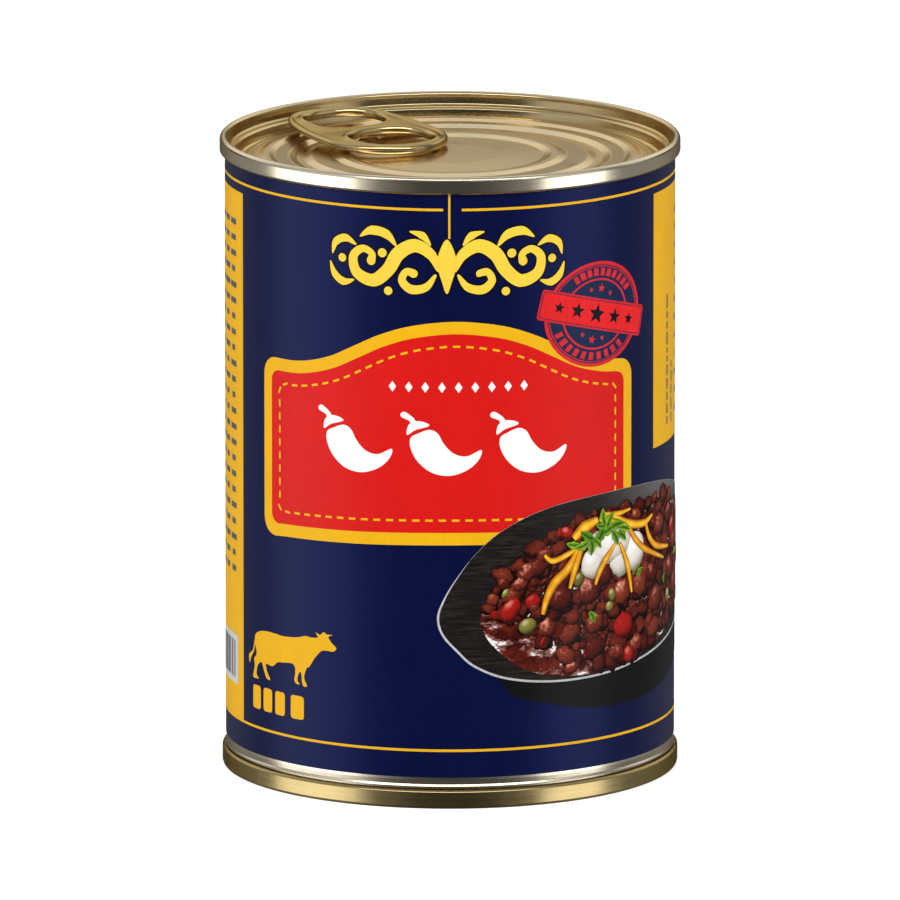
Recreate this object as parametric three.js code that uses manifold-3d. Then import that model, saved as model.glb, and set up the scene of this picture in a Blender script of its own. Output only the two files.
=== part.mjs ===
// Ring-pull food tin: a tinplate body, a lacquered easy-open end and a plain end, both
// double-seamed to it, a paper label and a two-hole ring tab on the easy-open end.
// Millimetres, +Z up, origin at the centre of the base, the tin's front towards -Y.
import * as THREE from 'three';
import { mergeVertices } from 'three/addons/utils/BufferGeometryUtils.js';
import Module from 'manifold-3d';

// ---- driving dimensions -------------------------------------------------------------
const HEIGHT = 104.3;           // base of the bottom seam to crest of the top seam
const BODY_RADIUS = 36.4;       // outside of the bare steel body
const LABEL_THICKNESS = 0.25;   // paper and glue
const TOP_SEAM_RADIUS = 37.55;  // outside of the top double seam
const BASE_SEAM_RADIUS = 37.25; // outside of the bottom double seam
const TOP_SEAM_DEPTH = 2.8;     // crest of the top seam down to its lower edge
const BASE_SEAM_HEIGHT = 3.1;   // base up to the upper edge of the bottom seam
const LABEL_BOTTOM = 5.1;       // lower edge of the paper above the base
const PANEL_DEPTH = 3.4;        // crest of the top seam down to the lid's flat panel
const BASE_RECESS = 2.0;        // base up to the plain end's flat panel
const TURNS = 64;               // facets round every turned piece
const SLIP = 0.05;              // clearance between concentric or stacked pieces
const SEAT_GAP = 0.3;           // clearance between the tab and the boss that carries it
const CREST_ROUND = 0.65;       // half the thickness of the top seam, rounded at its crest
const SEAM_LIP = 0.35;          // chamfer where a seam's wall meets its free edge
const STAND_LIP = 0.3;          // the same, where the tin stands
const LABEL_GAP = 0.1;          // bare body between the paper and the top seam
const PLUG_DEPTH = 1.6;         // how far the lid's solid runs on under its panel
const PANEL_RADIUS = 33.0;      // edge of both ends' flat panels

// The body's last stretch over the bottom seam: how far it bells out, and how high up
const BODY_BELL = [
  { out: 0.45, up: 0 },
  { out: 0.3, up: 0.5 },
  { out: 0, up: 1.5 },
];
// The lid from its seam inwards: the ledge, the chuck wall and the countersink
const LID_STEPS = [
  { radius: 36.1, belowCrest: 2.0 },
  { radius: 35.95, belowCrest: 2.2 },
  { radius: 35.15, belowCrest: 2.3 },
  { radius: 34.85, belowCrest: 2.6 },
  { radius: 34.6, belowCrest: 4.0 },
  { radius: 34.2, belowCrest: 4.2 },
  { radius: 33.6, belowCrest: 4.0 },
];
// The plain end from its panel outwards: the countersink, the wall and the standing ring
const BASE_STEPS = [
  { radius: 33.8, height: 1.2 },
  { radius: 34.6, height: 1.1 },
  { radius: 35.4, height: 1.7 },
  { radius: 36.0, height: 0.35 },
  { radius: 36.25, height: 0 },
  { radius: 37.0, height: 0 },
];

// Rings pressed into the lid: radii where each starts and ends, and how high it stands
const LID_BEADS = [
  { inner: 15.2, outer: 19.0, height: 0.3 },
  { inner: 22.6, outer: 26.2, height: -0.4 },
  { inner: 28.6, outer: 31.2, height: 0.3 },
];
const BASE_BEADS = [
  { inner: 14.0, outer: 17.6, height: 0.4 },
  { inner: 24.0, outer: 27.6, height: 0.4 },
];

// Ring tab: superellipse outline whose nose leans up towards the seam
const TAB = {
  x: -10.9,                     // the middle of the outline's widest place, in plan
  y: 7.9,
  turn: THREE.MathUtils.degToRad(31.5),
  lean: THREE.MathUtils.degToRad(2.3),
  halfWidth: 10.55,
  noseReach: 20.9,              // widest place to nose tip
  ringReach: 11.0,              // widest place to the finger ring's end
  nosePower: 2.8,
  ringPower: 1.95,
  thickness: 1.35,
  topBelowCrest: 1.3,           // at the widest place
  edgeRound: 0.45,
};
// Each hole: centre along the tab's axis, reach along it and across it
const NOSE_HOLE = { along: 11.5, noseReach: 5.7, ringReach: 5.7, halfWidth: 6.85, power: 2.4 };
const FINGER_HOLE = { along: -2.65, noseReach: 6.5, ringReach: 6.5, halfWidth: 7.4, power: 2.4 };

const BOSS = { along: 4.85, baseRadius: 2.0, topRadius: 1.3, sides: 20 };

// ---- heights that follow ------------------------------------------------------------
const PANEL_Z = HEIGHT - PANEL_DEPTH;
const TOP_SEAM_EDGE = HEIGHT - TOP_SEAM_DEPTH;
const LABEL_TOP = TOP_SEAM_EDGE - LABEL_GAP;
const LID_PLUG_Z = PANEL_Z - PLUG_DEPTH;
const TAB_TOP = HEIGHT - TAB.topBelowCrest;
const BOSS_TOP = TAB_TOP + (BOSS.along - BOSS.topRadius) * Math.sin(TAB.lean) - TAB.thickness - SEAT_GAP;

// ---- shared shapes ------------------------------------------------------------------
const point = (radius, height) => new THREE.Vector2(radius, height);

// Turns a profile, given from its lowest inner point outwards and up, about +Z
function turned(profile) {
  return new THREE.LatheGeometry(profile, TURNS).rotateX(Math.PI / 2);
}

// A pressed ring's four profile points, from the outside in
function beadPoints({ inner, outer, height }, panelZ) {
  const ramp = 0.28 * (outer - inner);
  return [
    point(outer, panelZ),
    point(outer - ramp, panelZ + height),
    point(inner + ramp, panelZ + height),
    point(inner, panelZ),
  ];
}

// Points of an arc in a profile, from one angle to another, both in degrees
function arcPoints(radius, height, size, from, to, steps) {
  const points = [];
  for (let step = 0; step <= steps; step += 1) {
    const angle = THREE.MathUtils.degToRad(from + (to - from) * step / steps);
    points.push(point(radius + size * Math.cos(angle), height + size * Math.sin(angle)));
  }
  return points;
}

// Closed superellipse with its own reach towards the nose (+Y) and the ring (-Y)
function ovalPoints({ along = 0, halfWidth, noseReach, ringReach, nosePower, ringPower, power }, count) {
  const points = [];
  for (let index = 0; index < count; index += 1) {
    const angle = 2 * Math.PI * index / count;
    const side = Math.cos(angle);
    const ahead = Math.sin(angle);
    const curve = 2 / (ahead > 0 ? nosePower ?? power : ringPower ?? power);
    const reach = ahead > 0 ? noseReach : ringReach;
    points.push(point(
      halfWidth * Math.sign(side) * Math.abs(side) ** curve,
      along + reach * Math.sign(ahead) * Math.abs(ahead) ** curve,
    ));
  }
  return points;
}

// A point on the tab's long axis, in the tin's frame
function alongTab(along) {
  return { x: TAB.x - along * Math.sin(TAB.turn), y: TAB.y + along * Math.cos(TAB.turn) };
}

// ---- solids for cutting and joining -------------------------------------------------
const wasm = await Module();
wasm.setup();

function toSolid(geometry) {
  const bare = geometry.clone();
  bare.deleteAttribute('normal');
  bare.deleteAttribute('uv');
  const merged = mergeVertices(bare, 1e-4);
  return new wasm.Manifold(new wasm.Mesh({
    numProp: 3,
    vertProperties: new Float32Array(merged.attributes.position.array),
    triVerts: new Uint32Array(merged.index.array),
  }));
}

function toGeometry(solid) {
  const mesh = solid.getMesh();
  const geometry = new THREE.BufferGeometry();
  geometry.setAttribute('position', new THREE.BufferAttribute(mesh.vertProperties, 3));
  geometry.setIndex(new THREE.BufferAttribute(mesh.triVerts, 1));
  geometry.computeVertexNormals();
  return geometry;
}

// ---- pieces -------------------------------------------------------------------------
// The body, full to the lid, belling out over its last millimetres to meet the bottom seam
function canBody() {
  const bottom = BASE_SEAM_HEIGHT + SLIP;
  const top = LID_PLUG_Z - SLIP;
  return turned([
    point(0, bottom),
    ...BODY_BELL.map(({ out, up }) => point(BODY_RADIUS + out, bottom + up)),
    point(BODY_RADIUS, top),
    point(0, top),
  ]);
}

// The easy-open end: seam, stepped chuck wall, countersink, beaded panel and rivet boss
function topEnd() {
  const crestCentre = TOP_SEAM_RADIUS - CREST_ROUND;
  const beads = [...LID_BEADS].reverse().flatMap((bead) => beadPoints(bead, PANEL_Z));
  const end = toSolid(turned([
    point(0, LID_PLUG_Z),
    point(BODY_RADIUS, LID_PLUG_Z),
    point(BODY_RADIUS, TOP_SEAM_EDGE),
    point(TOP_SEAM_RADIUS - SEAM_LIP, TOP_SEAM_EDGE),
    point(TOP_SEAM_RADIUS, TOP_SEAM_EDGE + SEAM_LIP),
    ...arcPoints(crestCentre, HEIGHT - CREST_ROUND, CREST_ROUND, 0, 180, 6),
    ...LID_STEPS.map(({ radius, belowCrest }) => point(radius, HEIGHT - belowCrest)),
    point(PANEL_RADIUS, PANEL_Z),
    ...beads,
    point(0, PANEL_Z),
  ]));
  const bossHeight = BOSS_TOP - LID_PLUG_Z - SLIP;
  const place = alongTab(BOSS.along);
  const boss = new THREE.CylinderGeometry(BOSS.topRadius, BOSS.baseRadius, bossHeight, BOSS.sides)
    .rotateX(Math.PI / 2)
    .translate(place.x, place.y, BOSS_TOP - bossHeight / 2);
  return toGeometry(end.add(toSolid(boss)));
}

// The plain end: a flat ring to stand on, a shallow recess and two pressed rings
function bottomEnd() {
  const beads = BASE_BEADS.flatMap((bead) => beadPoints(bead, BASE_RECESS).reverse());
  return turned([
    point(0, BASE_RECESS),
    ...beads,
    point(PANEL_RADIUS, BASE_RECESS),
    ...BASE_STEPS.map(({ radius, height }) => point(radius, height)),
    point(BASE_SEAM_RADIUS, STAND_LIP),
    point(BASE_SEAM_RADIUS, BASE_SEAM_HEIGHT - SEAM_LIP),
    point(BASE_SEAM_RADIUS - STAND_LIP, BASE_SEAM_HEIGHT),
    point(0, BASE_SEAM_HEIGHT),
  ]);
}

// The label: one sleeve of paper, glued round the body
function label() {
  const inside = BODY_RADIUS + SLIP;
  const outside = BODY_RADIUS + SLIP + LABEL_THICKNESS;
  const corners = [
    point(inside, LABEL_BOTTOM),
    point(outside, LABEL_BOTTOM),
    point(outside, LABEL_TOP),
    point(inside, LABEL_TOP),
    point(inside, LABEL_BOTTOM),
  ];
  return turned(corners);
}

// The ring tab: one pressed plate with rounded edges and two finger holes
function ringTab() {
  const shrink = (oval, by) => ({
    ...oval,
    halfWidth: oval.halfWidth - by,
    noseReach: oval.noseReach - by,
    ringReach: oval.ringReach - by,
  });
  const outline = new THREE.Shape(ovalPoints(shrink(TAB, TAB.edgeRound), 56));
  for (const hole of [NOSE_HOLE, FINGER_HOLE]) {
    const opened = shrink(hole, -TAB.edgeRound);
    outline.holes.push(new THREE.Path(ovalPoints(opened, 36)));
  }
  const geometry = new THREE.ExtrudeGeometry(outline, {
    depth: TAB.thickness - 2 * TAB.edgeRound,
    bevelEnabled: true,
    bevelThickness: TAB.edgeRound,
    bevelSize: TAB.edgeRound,
    bevelSegments: 2,
    steps: 1,
  });
  return geometry.translate(0, 0, TAB.edgeRound - TAB.thickness);
}

// ---- the assembly -------------------------------------------------------------------
const tinplate = { color: 0xb9b4a8, roughness: 0.3, metalness: 1.0 };
const goldLacquer = { color: 0xc9a35c, roughness: 0.25, metalness: 1.0 };
const navyPaper = { color: 0x0c1640, roughness: 0.4, metalness: 0.0 };

function piece(name, geometry, finish) {
  const mesh = new THREE.Mesh(geometry, new THREE.MeshStandardMaterial(finish));
  mesh.name = name;
  return mesh;
}

const tin = new THREE.Group();
tin.add(piece('can_body', canBody(), tinplate));
tin.add(piece('top_end', topEnd(), goldLacquer));
tin.add(piece('bottom_end', bottomEnd(), goldLacquer));
tin.add(piece('label', label(), navyPaper));

const tab = piece('ring_tab', ringTab(), goldLacquer);
tab.rotation.set(TAB.lean, 0, TAB.turn, 'ZXY');
tab.position.set(TAB.x, TAB.y, TAB_TOP);
tin.add(tab);

export default tin;
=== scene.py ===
"""Ring-pull food tin: the looks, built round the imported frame.

A lacquered easy-open end with its ring tab, a tinplate body, a plain end and a printed
paper label. Lengths inside the functions are millimetres; meshes are made in metres.
Artwork is drawn flat as (along, up): along is the distance round the paper from the
front, up is the height above the base. It is then wrapped round the tin.
"""
import math
import random

import bmesh
import bpy
import numpy as np
from bpy.props import (FloatProperty, FloatVectorProperty, IntProperty,
                       PointerProperty)
from mathutils import Matrix, Vector
from mathutils.geometry import tessellate_polygon


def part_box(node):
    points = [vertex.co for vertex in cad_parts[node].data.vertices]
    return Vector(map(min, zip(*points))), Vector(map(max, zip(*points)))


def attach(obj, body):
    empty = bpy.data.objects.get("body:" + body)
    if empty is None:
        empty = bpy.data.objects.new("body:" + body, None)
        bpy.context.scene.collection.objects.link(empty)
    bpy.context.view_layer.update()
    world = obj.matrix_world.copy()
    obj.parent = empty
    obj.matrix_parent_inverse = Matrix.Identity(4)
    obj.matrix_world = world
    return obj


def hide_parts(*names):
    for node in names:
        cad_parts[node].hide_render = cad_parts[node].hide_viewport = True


bl_info = {
    "name": "Ring-Pull Food Tin",
    "version": (1, 0, 0),
    "blender": (4, 5, 0),
    "location": "View3D > Sidebar > Tin",
    "description": "Builds a printed ring-pull food tin, piece by piece",
    "category": "Object",
}

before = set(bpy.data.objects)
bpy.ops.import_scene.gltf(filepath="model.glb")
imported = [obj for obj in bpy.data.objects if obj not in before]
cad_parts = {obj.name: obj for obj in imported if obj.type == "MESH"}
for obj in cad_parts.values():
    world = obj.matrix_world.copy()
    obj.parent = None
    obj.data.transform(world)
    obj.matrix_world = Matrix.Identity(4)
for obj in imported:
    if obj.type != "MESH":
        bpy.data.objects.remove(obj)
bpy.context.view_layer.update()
LABEL_LOW, LABEL_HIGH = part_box("label")
LID_LOW, LID_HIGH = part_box("top_end")
BASE_LOW, BASE_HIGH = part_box("bottom_end")
BODY_LOW, BODY_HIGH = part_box("can_body")

MM = 0.001
BODY = "root"


# ---- settings a user can change ---------------------------------------------------------
def length(name, description, default):
    return FloatProperty(name=name, description=description, default=default,
                         min=0.0, unit="LENGTH", precision=5)


def colour(name, description, default):
    return FloatVectorProperty(name=name, description=description, default=default,
                               subtype="COLOR", size=3, min=0.0, max=1.0)


class TinSizes(bpy.types.PropertyGroup):
    """Sizes of the turned pieces and of the label."""
    label_radius: length("Label radius", "Outside of the paper", LABEL_HIGH.x)
    label_low: length("Label foot", "Height of the paper's lower edge", LABEL_LOW.z)
    label_high: length("Label top", "Height of the paper's upper edge", LABEL_HIGH.z)
    seam_radius: length("Top seam radius", "Outside of the top seam", LID_HIGH.x)
    seam_crest: length("Crest", "Height of the top seam's crest", LID_HIGH.z)
    panel_depth: length("Panel depth", "Crest down to the lid's flat panel", 3.4 * MM)
    base_radius: length("Base seam radius", "Outside of the bottom seam", BASE_HIGH.x)
    base_seam: length("Base seam height", "Base up to the seam's upper edge", BASE_HIGH.z)
    ink_step: length("Ink step", "How far each printed layer stands off the last",
                     0.012 * MM)
    turns: IntProperty(name="Turns", description="Facets round each turned piece",
                       default=240, min=24, max=360)


class TinColours(bpy.types.PropertyGroup):
    """Colours of the metal and of the inks."""
    lacquer: colour("Lacquer", "Gold lacquer over tinplate", (0.81, 0.655, 0.40))
    tin: colour("Tinplate", "Bare tinplate", (0.78, 0.70, 0.54))
    navy: colour("Navy", "Ground colour of the label", (0.0016, 0.0036, 0.034))
    yellow: colour("Yellow", "Panels, lines and borders", (0.70, 0.372, 0.001))
    pale_yellow: colour("Pale yellow", "The ornament", (0.80, 0.52, 0.045))
    red: colour("Red", "The plaque's field", (0.56, 0.003, 0.0015))
    stamp_red: colour("Stamp red", "The stamp and its banner", (0.52, 0.012, 0.018))
    stamp_blue: colour("Stamp blue", "The stamp's ground", (0.004, 0.014, 0.055))
    white: colour("White", "White ink", (0.80, 0.80, 0.79))
    slate: colour("Slate", "Bars on the side panels", (0.075, 0.085, 0.10))


class TinStudio(bpy.types.PropertyGroup):
    """Strength of the studio's lights."""
    sides: FloatProperty(name="Side lights", description="Power of each low side light",
                         default=1.6, min=0.0, unit="POWER")
    key: FloatProperty(name="Key light", description="Power of the light above the front",
                       default=13.0, min=0.0, unit="POWER")
    screens: FloatProperty(name="Side screens", description="Glow of the side screens",
                           default=0.6, min=0.0)


def sizes():
    return bpy.context.scene.tin_sizes


def colours():
    return bpy.context.scene.tin_colours


# ---- node building ----------------------------------------------------------------------
def add(tree, kind, inputs=None, **settings):
    """Adds a node, sets its options, and fills or links its inputs by name or index."""
    made = tree.nodes.new(kind)
    for key, value in settings.items():
        setattr(made, key, value)
    for key, value in (inputs or {}).items():
        if isinstance(value, bpy.types.NodeSocket):
            tree.links.new(value, made.inputs[key])
        else:
            made.inputs[key].default_value = value
    return made


def calc(tree, operation, first, second=0.0, clamp=False):
    """A Math node; returns its result."""
    return add(tree, "ShaderNodeMath", {0: first, 1: second}, operation=operation,
               use_clamp=clamp).outputs[0]


def times(tree, first, second):
    return calc(tree, "MULTIPLY", first, second)


def plus(tree, first, second):
    return calc(tree, "ADD", first, second)


def minus(tree, first, second):
    return calc(tree, "SUBTRACT", first, second)


def blend_colour(tree, factor, first, second):
    """A colour Mix node; returns its result."""
    rgba = [value if isinstance(value, bpy.types.NodeSocket) else (*value, 1.0)[:4]
            for value in (first, second)]
    return add(tree, "ShaderNodeMix", {0: factor, 6: rgba[0], 7: rgba[1]},
               data_type="RGBA").outputs[2]


def fit(tree, value, low, high, out_low=0.0, out_high=1.0):
    """Smoothly maps value from one range to another."""
    return add(tree, "ShaderNodeMapRange",
               {0: value, 1: low, 2: high, 3: out_low, 4: out_high},
               interpolation_type="SMOOTHSTEP").outputs[0]


def new_group(name, kind, inputs, outputs):
    """A node group with named inputs (name, type, default) and outputs (name, type)."""
    tree = bpy.data.node_groups.new(name, kind)
    for label, socket, default in inputs:
        made = tree.interface.new_socket(label, in_out="INPUT", socket_type=socket)
        if default is not None:
            made.default_value = default
    for label, socket in outputs:
        tree.interface.new_socket(label, in_out="OUTPUT", socket_type=socket)
    given, out = (tree.nodes.new(kind) for kind in ("NodeGroupInput", "NodeGroupOutput"))
    return tree, given.outputs, out.inputs


FLOAT, VECTOR, COLOUR, INT, GEOMETRY, MATERIAL = (
    "NodeSocketFloat", "NodeSocketVector", "NodeSocketColor", "NodeSocketInt",
    "NodeSocketGeometry", "NodeSocketMaterial")


def geo(tree, kind, inputs=None, **settings):
    return add(tree, "GeometryNode" + kind, inputs, **settings).outputs[0]


def func(tree, kind, inputs=None, **settings):
    return add(tree, "FunctionNode" + kind, inputs, **settings).outputs[0]


def keep_value(tree, geometry, name, value, data_type="FLOAT"):
    """Stores a value on the points under a name."""
    return geo(tree, "StoreNamedAttribute",
               {"Geometry": geometry, "Name": name, "Value": value}, data_type=data_type,
               domain="POINT")


def xyz(tree, x=0.0, y=0.0, z=0.0):
    return add(tree, "ShaderNodeCombineXYZ", {0: x, 1: y, 2: z}).outputs[0]


def split(tree, vector):
    return add(tree, "ShaderNodeSeparateXYZ", {0: vector}).outputs


def vector_calc(tree, values, operation):
    return add(tree, "ShaderNodeVectorMath", values, operation=operation).outputs[0]


def drawn(tree, low, high, seed, **extra):
    """A random number from low to high."""
    return add(tree, "FunctionNodeRandomValue", {2: low, 3: high, "Seed": seed, **extra},
               data_type="FLOAT").outputs[1]


def feed(tree, inputs, values):
    """Links each value to the input of its name."""
    for key, value in values.items():
        tree.links.new(value, inputs[key])


def attribute(tree, name, part="Vector"):
    return add(tree, "ShaderNodeAttribute", attribute_name=name).outputs[part]


def use_group(tree, name, inputs):
    """Places a shared effect and returns its outputs."""
    return add(tree, "ShaderNodeGroup", inputs,
               node_tree=bpy.data.node_groups[name]).outputs


def noise(tree, vector, scale, detail=2.0, roughness=0.5, dimensions="3D"):
    return add(tree, "ShaderNodeTexNoise",
               {"Vector": vector, "Scale": scale, "Detail": detail,
                "Roughness": roughness}, noise_dimensions=dimensions).outputs[0]


# ---- shared surface effects --------------------------------------------------------------
def paper_fibre_group():
    """Matted paper fibres: a value for tint and a height for bump."""
    tree, given, out = new_group(
        "Paper Fibre", "ShaderNodeTree",
        [("Vector", VECTOR, None), ("Fineness", FLOAT, 2200.0), ("Lay", FLOAT, 0.35)],
        [("Value", FLOAT), ("Height", FLOAT)])
    lay = xyz(tree, 1.0, 1.0, given["Lay"])
    flat = vector_calc(tree, {0: given["Vector"], 1: lay}, operation="MULTIPLY")
    fibres = noise(tree, flat, given["Fineness"], 4.0, 0.6)
    coarse = noise(tree, flat, times(tree, given["Fineness"], 0.14), 2.0)
    both = plus(tree, times(tree, fibres, 0.65), times(tree, coarse, 0.35))
    feed(tree, out, {"Value": both, "Height": fibres})


def print_ink_group():
    """Ink on paper: the ink's colour, slightly uneven, with its roughness and height."""
    tree, given, out = new_group(
        "Print Ink", "ShaderNodeTree",
        [("Vector", VECTOR, None), ("Colour", COLOUR, (0.5, 0.5, 0.5, 1)),
         ("Unevenness", FLOAT, 0.12), ("Gloss", FLOAT, 0.42)],
        [("Colour", COLOUR), ("Roughness", FLOAT), ("Height", FLOAT)])
    paper = use_group(tree, "Paper Fibre", {"Vector": given["Vector"]})
    patch = noise(tree, given["Vector"], 90.0, 3.0)
    tone = plus(tree, times(tree, paper["Value"], 0.7), times(tree, patch, 0.3))
    low = minus(tree, 1.0, given["Unevenness"])
    high = plus(tree, 1.0, given["Unevenness"])
    gain = fit(tree, tone, 0.3, 0.7, low, high)
    tinted = vector_calc(tree, {0: given["Colour"], 3: gain}, operation="SCALE")
    rough = plus(tree, given["Gloss"], times(tree, minus(tree, tone, 0.5), 0.25))
    feed(tree, out, {"Colour": tinted, "Roughness": rough, "Height": paper["Height"]})


def turned_grain_group():
    """Fine rings left by pressing and seaming, over a cloudy rolled sheet."""
    tree, given, out = new_group(
        "Turned Grain", "ShaderNodeTree",
        [("Vector", VECTOR, None), ("Fineness", FLOAT, 6000.0), ("Cloud", FLOAT, 140.0)],
        [("Value", FLOAT), ("Cloud", FLOAT), ("Radius", FLOAT), ("Height", FLOAT)])
    parts = split(tree, given["Vector"])
    level = xyz(tree, parts[0], parts[1])
    radius = add(tree, "ShaderNodeVectorMath", {0: level}, operation="LENGTH").outputs[1]
    ring = xyz(tree, radius, parts[2])
    rings = noise(tree, ring, given["Fineness"], 3.0, 0.65)
    cloud = noise(tree, given["Vector"], given["Cloud"], 4.0, 0.55)
    value = plus(tree, times(tree, rings, 0.6), times(tree, cloud, 0.4))
    feed(tree, out, {"Value": value, "Cloud": cloud, "Radius": radius, "Height": rings})


def rubbed_group():
    """Mask of the places where handling and the seaming rollers rub the surface."""
    tree, given, out = new_group(
        "Rubbed Places", "ShaderNodeTree",
        [("Vector", VECTOR, None), ("Distance", FLOAT, 0.0), ("From", FLOAT, 0.0),
         ("To", FLOAT, 1.0), ("Patchiness", FLOAT, 0.25)],
        [("Mask", FLOAT)])
    patch = noise(tree, given["Vector"], 900.0, 3.0)
    shift = times(tree, minus(tree, patch, 0.5), given["Patchiness"])
    worn = fit(tree, given["Distance"], given["From"], given["To"])
    # half the mask everywhere, as the lacquer is thin enough for the tin to show
    mask = calc(tree, "ADD", plus(tree, worn, times(tree, shift, worn)), 0.5, clamp=True)
    feed(tree, out, {"Mask": mask})


def painted_form_group():
    """Painted food: dark to light by the form's own shade, with a moist glint."""
    tree, given, out = new_group(
        "Painted Form", "ShaderNodeTree",
        [("Vector", VECTOR, None), ("Shade", FLOAT, 0.5), ("Tone", FLOAT, 0.5),
         ("Dark", COLOUR, (0.02, 0.005, 0.003, 1)), ("Body", COLOUR, (0.2, 0.03, 0.02, 1)),
         ("Other Body", COLOUR, (0.3, 0.08, 0.04, 1)),
         ("Light", COLOUR, (0.6, 0.3, 0.2, 1)), ("Grain", FLOAT, 900.0),
         ("Mottle", FLOAT, 0.3)],
        [("Colour", COLOUR), ("Roughness", FLOAT)])
    speck = noise(tree, given["Vector"], given["Grain"], 3.0, 0.6)
    wobble = times(tree, minus(tree, speck, 0.5), given["Mottle"])
    shade = plus(tree, given["Shade"], wobble)
    body = blend_colour(tree, given["Tone"], given["Body"], given["Other Body"])
    first = blend_colour(tree, fit(tree, shade, 0.25, 0.92), given["Dark"], body)
    lit = blend_colour(tree, fit(tree, shade, 0.88, 1.14), first, given["Light"])
    glint = blend_colour(tree, fit(tree, shade, 1.09, 1.17), lit, (0.86, 0.80, 0.76))
    feed(tree, out, {"Colour": glint, "Roughness": plus(tree, 0.4, wobble)})


# ---- finishes ---------------------------------------------------------------------------
def new_finish(name, **sockets):
    """A material, its shader's sockets set directly: its tree, shader and Object place."""
    material = bpy.data.materials.new(name)
    material.use_nodes = True
    tree = material.node_tree
    shader = tree.nodes["Principled BSDF"]
    for key, value in sockets.items():
        shader.inputs[key.replace("_", " ")].default_value = value
    place = tree.nodes.new("ShaderNodeTexCoord").outputs["Object"]
    return tree, shader, place


def bump(tree, shader, height, strength, distance):
    made = add(tree, "ShaderNodeBump",
               {"Strength": strength, "Distance": distance, "Height": height})
    feed(tree, shader.inputs, {"Normal": made.outputs["Normal"]})


def ink_finish(name, rgb, unevenness=0.12, gloss=0.42, **sockets):
    """One printed colour on the label's paper."""
    tree, shader, place = new_finish(name, **{"Specular_IOR_Level": 0.12, **sockets})
    ink = use_group(tree, "Print Ink", {"Vector": place, "Colour": (*rgb, 1.0),
                                        "Unevenness": unevenness, "Gloss": gloss})
    feed(tree, shader.inputs, {"Base Color": ink["Colour"],
                               "Roughness": ink["Roughness"]})
    bump(tree, shader, ink["Height"], 0.12, 0.02 * MM)


def metal_finish(name, base, rough, worn_base=None, worn=(0.0, 1.0), grain=0.10,
                 fineness=6000.0, painted_wall_shade=(), painted_channel_shade=()):
    """Pressed sheet metal, going over to worn_base between two radii.

    Painted shade: between the radii given for the lid's inner wall and countersink the colour
    is painted darker and richer, standing in for the shade and gold-on-gold reflections in
    that recess, and in each pressed channel it is painted darker, standing in for the
    channel's shade."""
    tree, shader, place = new_finish(
        name, Metallic=1.0, Specular_Tint=(*(0.2 + 0.8 * part for part in base), 1.0))
    turned = use_group(tree, "Turned Grain", {"Vector": place, "Fineness": fineness})
    radius = turned["Radius"]
    dull = tuple(part * 0.88 for part in base)
    tint = blend_colour(tree, fit(tree, turned["Cloud"], 0.35, 0.65), base, dull)

    def between(inner, outer, blur):
        rise = fit(tree, radius, (inner - blur) * MM, (inner + blur) * MM)
        fall = fit(tree, radius, (outer + blur) * MM, (outer - blur) * MM)
        return times(tree, rise, fall)

    # painted shade: each pressed channel is coloured darker, standing in for the shade in it
    for inner, outer, share in painted_channel_shade:
        shaded = (base[0] * share, base[1] * share * 0.95, base[2] * share * 0.85)
        tint = blend_colour(tree, between(inner, outer, 0.28), tint, shaded)
    # painted shade: the inner wall and countersink are coloured darker and richer gold,
    # standing in for the shade and gold-on-gold reflections in that recess
    if painted_wall_shade:
        wall_shade_colour = (base[0] * 0.60, base[1] * 0.50, base[2] * 0.12)
        tint = blend_colour(tree, between(*painted_wall_shade, 0.14), tint, wall_shade_colour)
    if worn_base:
        rubbed = use_group(tree, "Rubbed Places", {
            "Vector": place, "Distance": radius, "From": worn[0], "To": worn[1]})
        tint = blend_colour(tree, rubbed["Mask"], tint, worn_base)
    spread = fit(tree, turned["Value"], 0.3, 0.7, rough - grain * 0.5, rough + grain)
    feed(tree, shader.inputs, {"Base Color": tint, "Roughness": spread})
    bump(tree, shader, turned["Height"], 0.10, 0.01 * MM)


def painted_finish(name, dark, body, other, light, grain, mottle):
    """Food in the label's picture."""
    tree, shader, place = new_finish(name, Specular_IOR_Level=0.08)
    form = use_group(tree, "Painted Form", {
        "Vector": place, "Shade": attribute(tree, "shade", "Fac"),
        "Tone": attribute(tree, "tone", "Fac"), "Dark": (*dark, 1.0),
        "Body": (*body, 1.0), "Other Body": (*other, 1.0), "Light": (*light, 1.0),
        "Grain": grain, "Mottle": mottle})
    feed(tree, shader.inputs, {"Base Color": form["Colour"],
                               "Roughness": form["Roughness"]})


def plate_finish():
    """Dark stoneware with brushed streaks, greyer towards the far rim."""
    tree, shader, _ = new_finish("plate_print", Roughness=0.42, Specular_IOR_Level=0.08)
    spot = attribute(tree, "spot")
    lean = add(tree, "ShaderNodeMapping",
               {"Vector": spot, "Rotation": (0, 0, math.radians(-24)),
                "Scale": (180.0, 2600.0, 1.0)}).outputs[0]
    streak = noise(tree, lean, 1.0, 4.0, 0.7, "2D")
    cloud = noise(tree, spot, 160.0, 3.0, 0.6)
    up = split(tree, spot)
    far = times(tree, fit(tree, up[1], 0.040, 0.0505), fit(tree, up[0], 0.022, 0.050))
    wood = blend_colour(tree, fit(tree, streak, 0.38, 0.68), (0.006, 0.0052, 0.005),
                        (0.028, 0.020, 0.017))
    dusk = blend_colour(tree, fit(tree, cloud, 0.35, 0.75), wood, (0.009, 0.0082, 0.008))
    shaded = blend_colour(tree, times(tree, far, 0.8), dusk, (0.16, 0.155, 0.15))
    feed(tree, shader.inputs, {"Base Color": shaded})


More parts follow.
